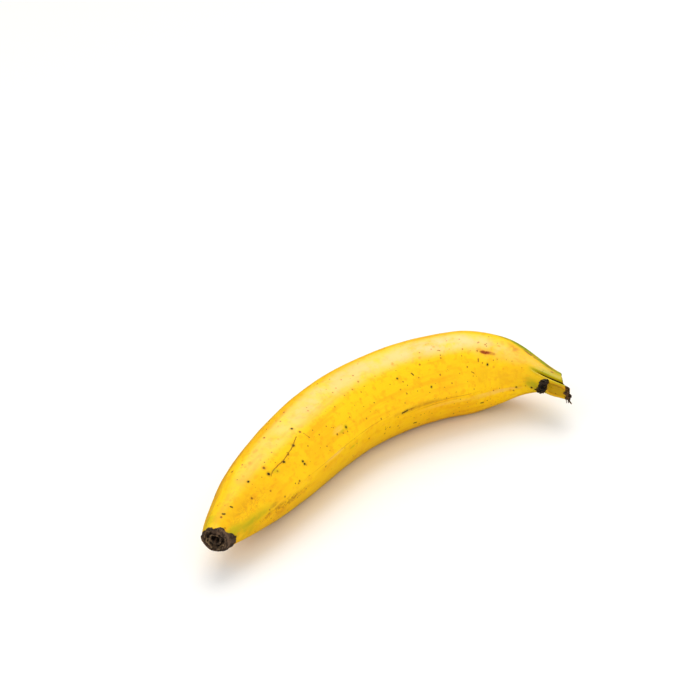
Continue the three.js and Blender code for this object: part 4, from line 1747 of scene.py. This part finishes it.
@dataclass
class Studio:
    """A pale floor, a broad soft light from above and behind, a low one from the front, and even fill."""

    eye: tuple[float, float, float] = (-0.3790, -0.6503, 0.4381)
    azimuth: float = -30.35
    elevation: float = 26.05
    roll: float = 11.6
    lens: float = 87.43
    nearest: float = 0.01
    farthest: float = 50.0
    floor_side: float = 12.0
    floor_roughness: float = 0.45
    floor_gloss: float = 0.3
    light_azimuth: float = -47.0
    light_elevation: float = 57.0
    light_width: float = 46.0
    light_strength: float = 1.16
    front_azimuth: float = 150.0
    front_elevation: float = 6.0
    front_strength: float = 0.75
    fill_strength: float = 1.0
    fill_in_gloss: float = 0.05
    fill_colour: str = "#ffffff"
    light_colour: str = "#fffdfa"
    floor_colour: str = "#f0efed"

    def build(self) -> None:
        """Sets up the camera, the lights and the floor."""
        self.add_camera()
        self.add_lights()
        self.add_floor()
        bpy.context.scene.view_settings.view_transform = "Standard"

    def add_camera(self) -> None:
        """Places the camera at the photograph's viewing angle."""
        data = bpy.data.cameras.new("camera")
        data.lens = self.lens
        data.clip_start = self.nearest
        data.clip_end = self.farthest
        camera = bpy.data.objects.new("camera", data)
        bpy.context.scene.collection.objects.link(camera)
        camera.location = self.eye
        aim = Matrix.Rotation(math.radians(self.azimuth), 4, "Z")
        tilt = Matrix.Rotation(math.radians(90 - self.elevation), 4, "X")
        turn = Matrix.Rotation(math.radians(-self.roll), 4, "Z")
        camera.rotation_euler = (aim @ tilt @ turn).to_euler()
        bpy.context.scene.camera = camera

    def add_lights(self) -> None:
        """Adds the soft key light, a low light from the front and the fill."""
        self.add_sun("soft_key", self.light_azimuth, self.light_elevation, self.light_strength)
        front = self.add_sun("soft_front", self.front_azimuth, self.front_elevation, self.front_strength)
        front.visible_glossy = False
        world = bpy.data.worlds.new("fill")
        world.use_nodes = True
        background = world.node_tree.nodes["Background"]
        background.inputs["Color"].default_value = linear_colour(self.fill_colour)
        in_gloss = add_node(world.node_tree, "LightPath").outputs["Is Glossy Ray"]
        strength = add_node(world.node_tree, "Math", {
            0: in_gloss, 1: self.fill_strength * (self.fill_in_gloss - 1), 2: self.fill_strength,
        }, operation="MULTIPLY_ADD")
        world.node_tree.links.new(strength.outputs[0], background.inputs["Strength"])
        bpy.context.scene.world = world

    def add_sun(self, name: str, azimuth: float, elevation: float, strength: float) -> bpy.types.Object:
        """Adds one broad, soft light.

        Args:
            name: the light's name.
            azimuth: where it comes from, in degrees from +Y towards -X.
            elevation: its height above the floor, in degrees.
            strength: how bright it is.

        Returns:
            The light.
        """
        data = bpy.data.lights.new(name, "SUN")
        data.energy = strength
        data.angle = math.radians(self.light_width)
        data.color = linear_colour(self.light_colour)[:3]
        light = bpy.data.objects.new(name, data)
        bpy.context.scene.collection.objects.link(light)
        turn = math.radians(azimuth)
        rise = math.radians(elevation)
        towards = Vector((-math.sin(turn) * math.cos(rise), math.cos(turn) * math.cos(rise), math.sin(rise)))
        light.rotation_euler = towards.to_track_quat("Z", "Y").to_euler()
        return light

    def add_floor(self) -> None:
        """Adds a plain pale floor with a faint gloss."""
        bpy.ops.object.select_all(action="DESELECT")
        bpy.ops.mesh.primitive_plane_add(size=self.floor_side, location=(0, 0, 0))
        floor = bpy.context.object
        floor.name = "floor"
        material = bpy.data.materials.new("studio_floor")
        material.use_nodes = True
        shader = material.node_tree.nodes["Principled BSDF"]
        shader.inputs["Base Color"].default_value = linear_colour(self.floor_colour)
        shader.inputs["Roughness"].default_value = self.floor_roughness
        shader.inputs["Specular IOR Level"].default_value = self.floor_gloss
        floor.data.materials.append(material)
        floor.visible_glossy = False


def main() -> None:
    """Builds the studio and the fruit's pieces in order."""
    logging.basicConfig(level=logging.INFO, format="%(name)s %(message)s")
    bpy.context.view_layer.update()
    Studio().build()
    form = FruitForm()
    form.find_place(*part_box(NODE))
    stalk = StalkForm()
    peel_finish = PeelFinish().build(form)
    scar_finish = DryTissueFinish("dried_blossom_tissue", rings=BLOSSOM_RINGS).build()
    # The sap crust's grey-green pale on its raised fibres is partly painted glint
    stub_finish = DryTissueFinish(
        "dried_sap_crust", dark="#120e0a", brown="#3a2b1d", pale="#77704f", roughness=0.6, fibre_width=0.5
    ).build()
    fibre_finish = DryTissueFinish(
        "dried_stalk_fibres", dark="#36220f", brown="#6a4726", pale="#9c784c"
    ).build()
    pieces: list[tuple[Callable[[], bpy.types.Object], bpy.types.Material]] = [
        (Peel(form, stalk).build, peel_finish),
        (BlossomScar(form).build, scar_finish),
        (NeckScar(form).build, stub_finish),
        (StalkFibres(form, stalk).build, fibre_finish),
    ]
    for build, finish in pieces:
        MeshWork.hand_over(build(), finish)


if __name__ == "__main__":
    main()
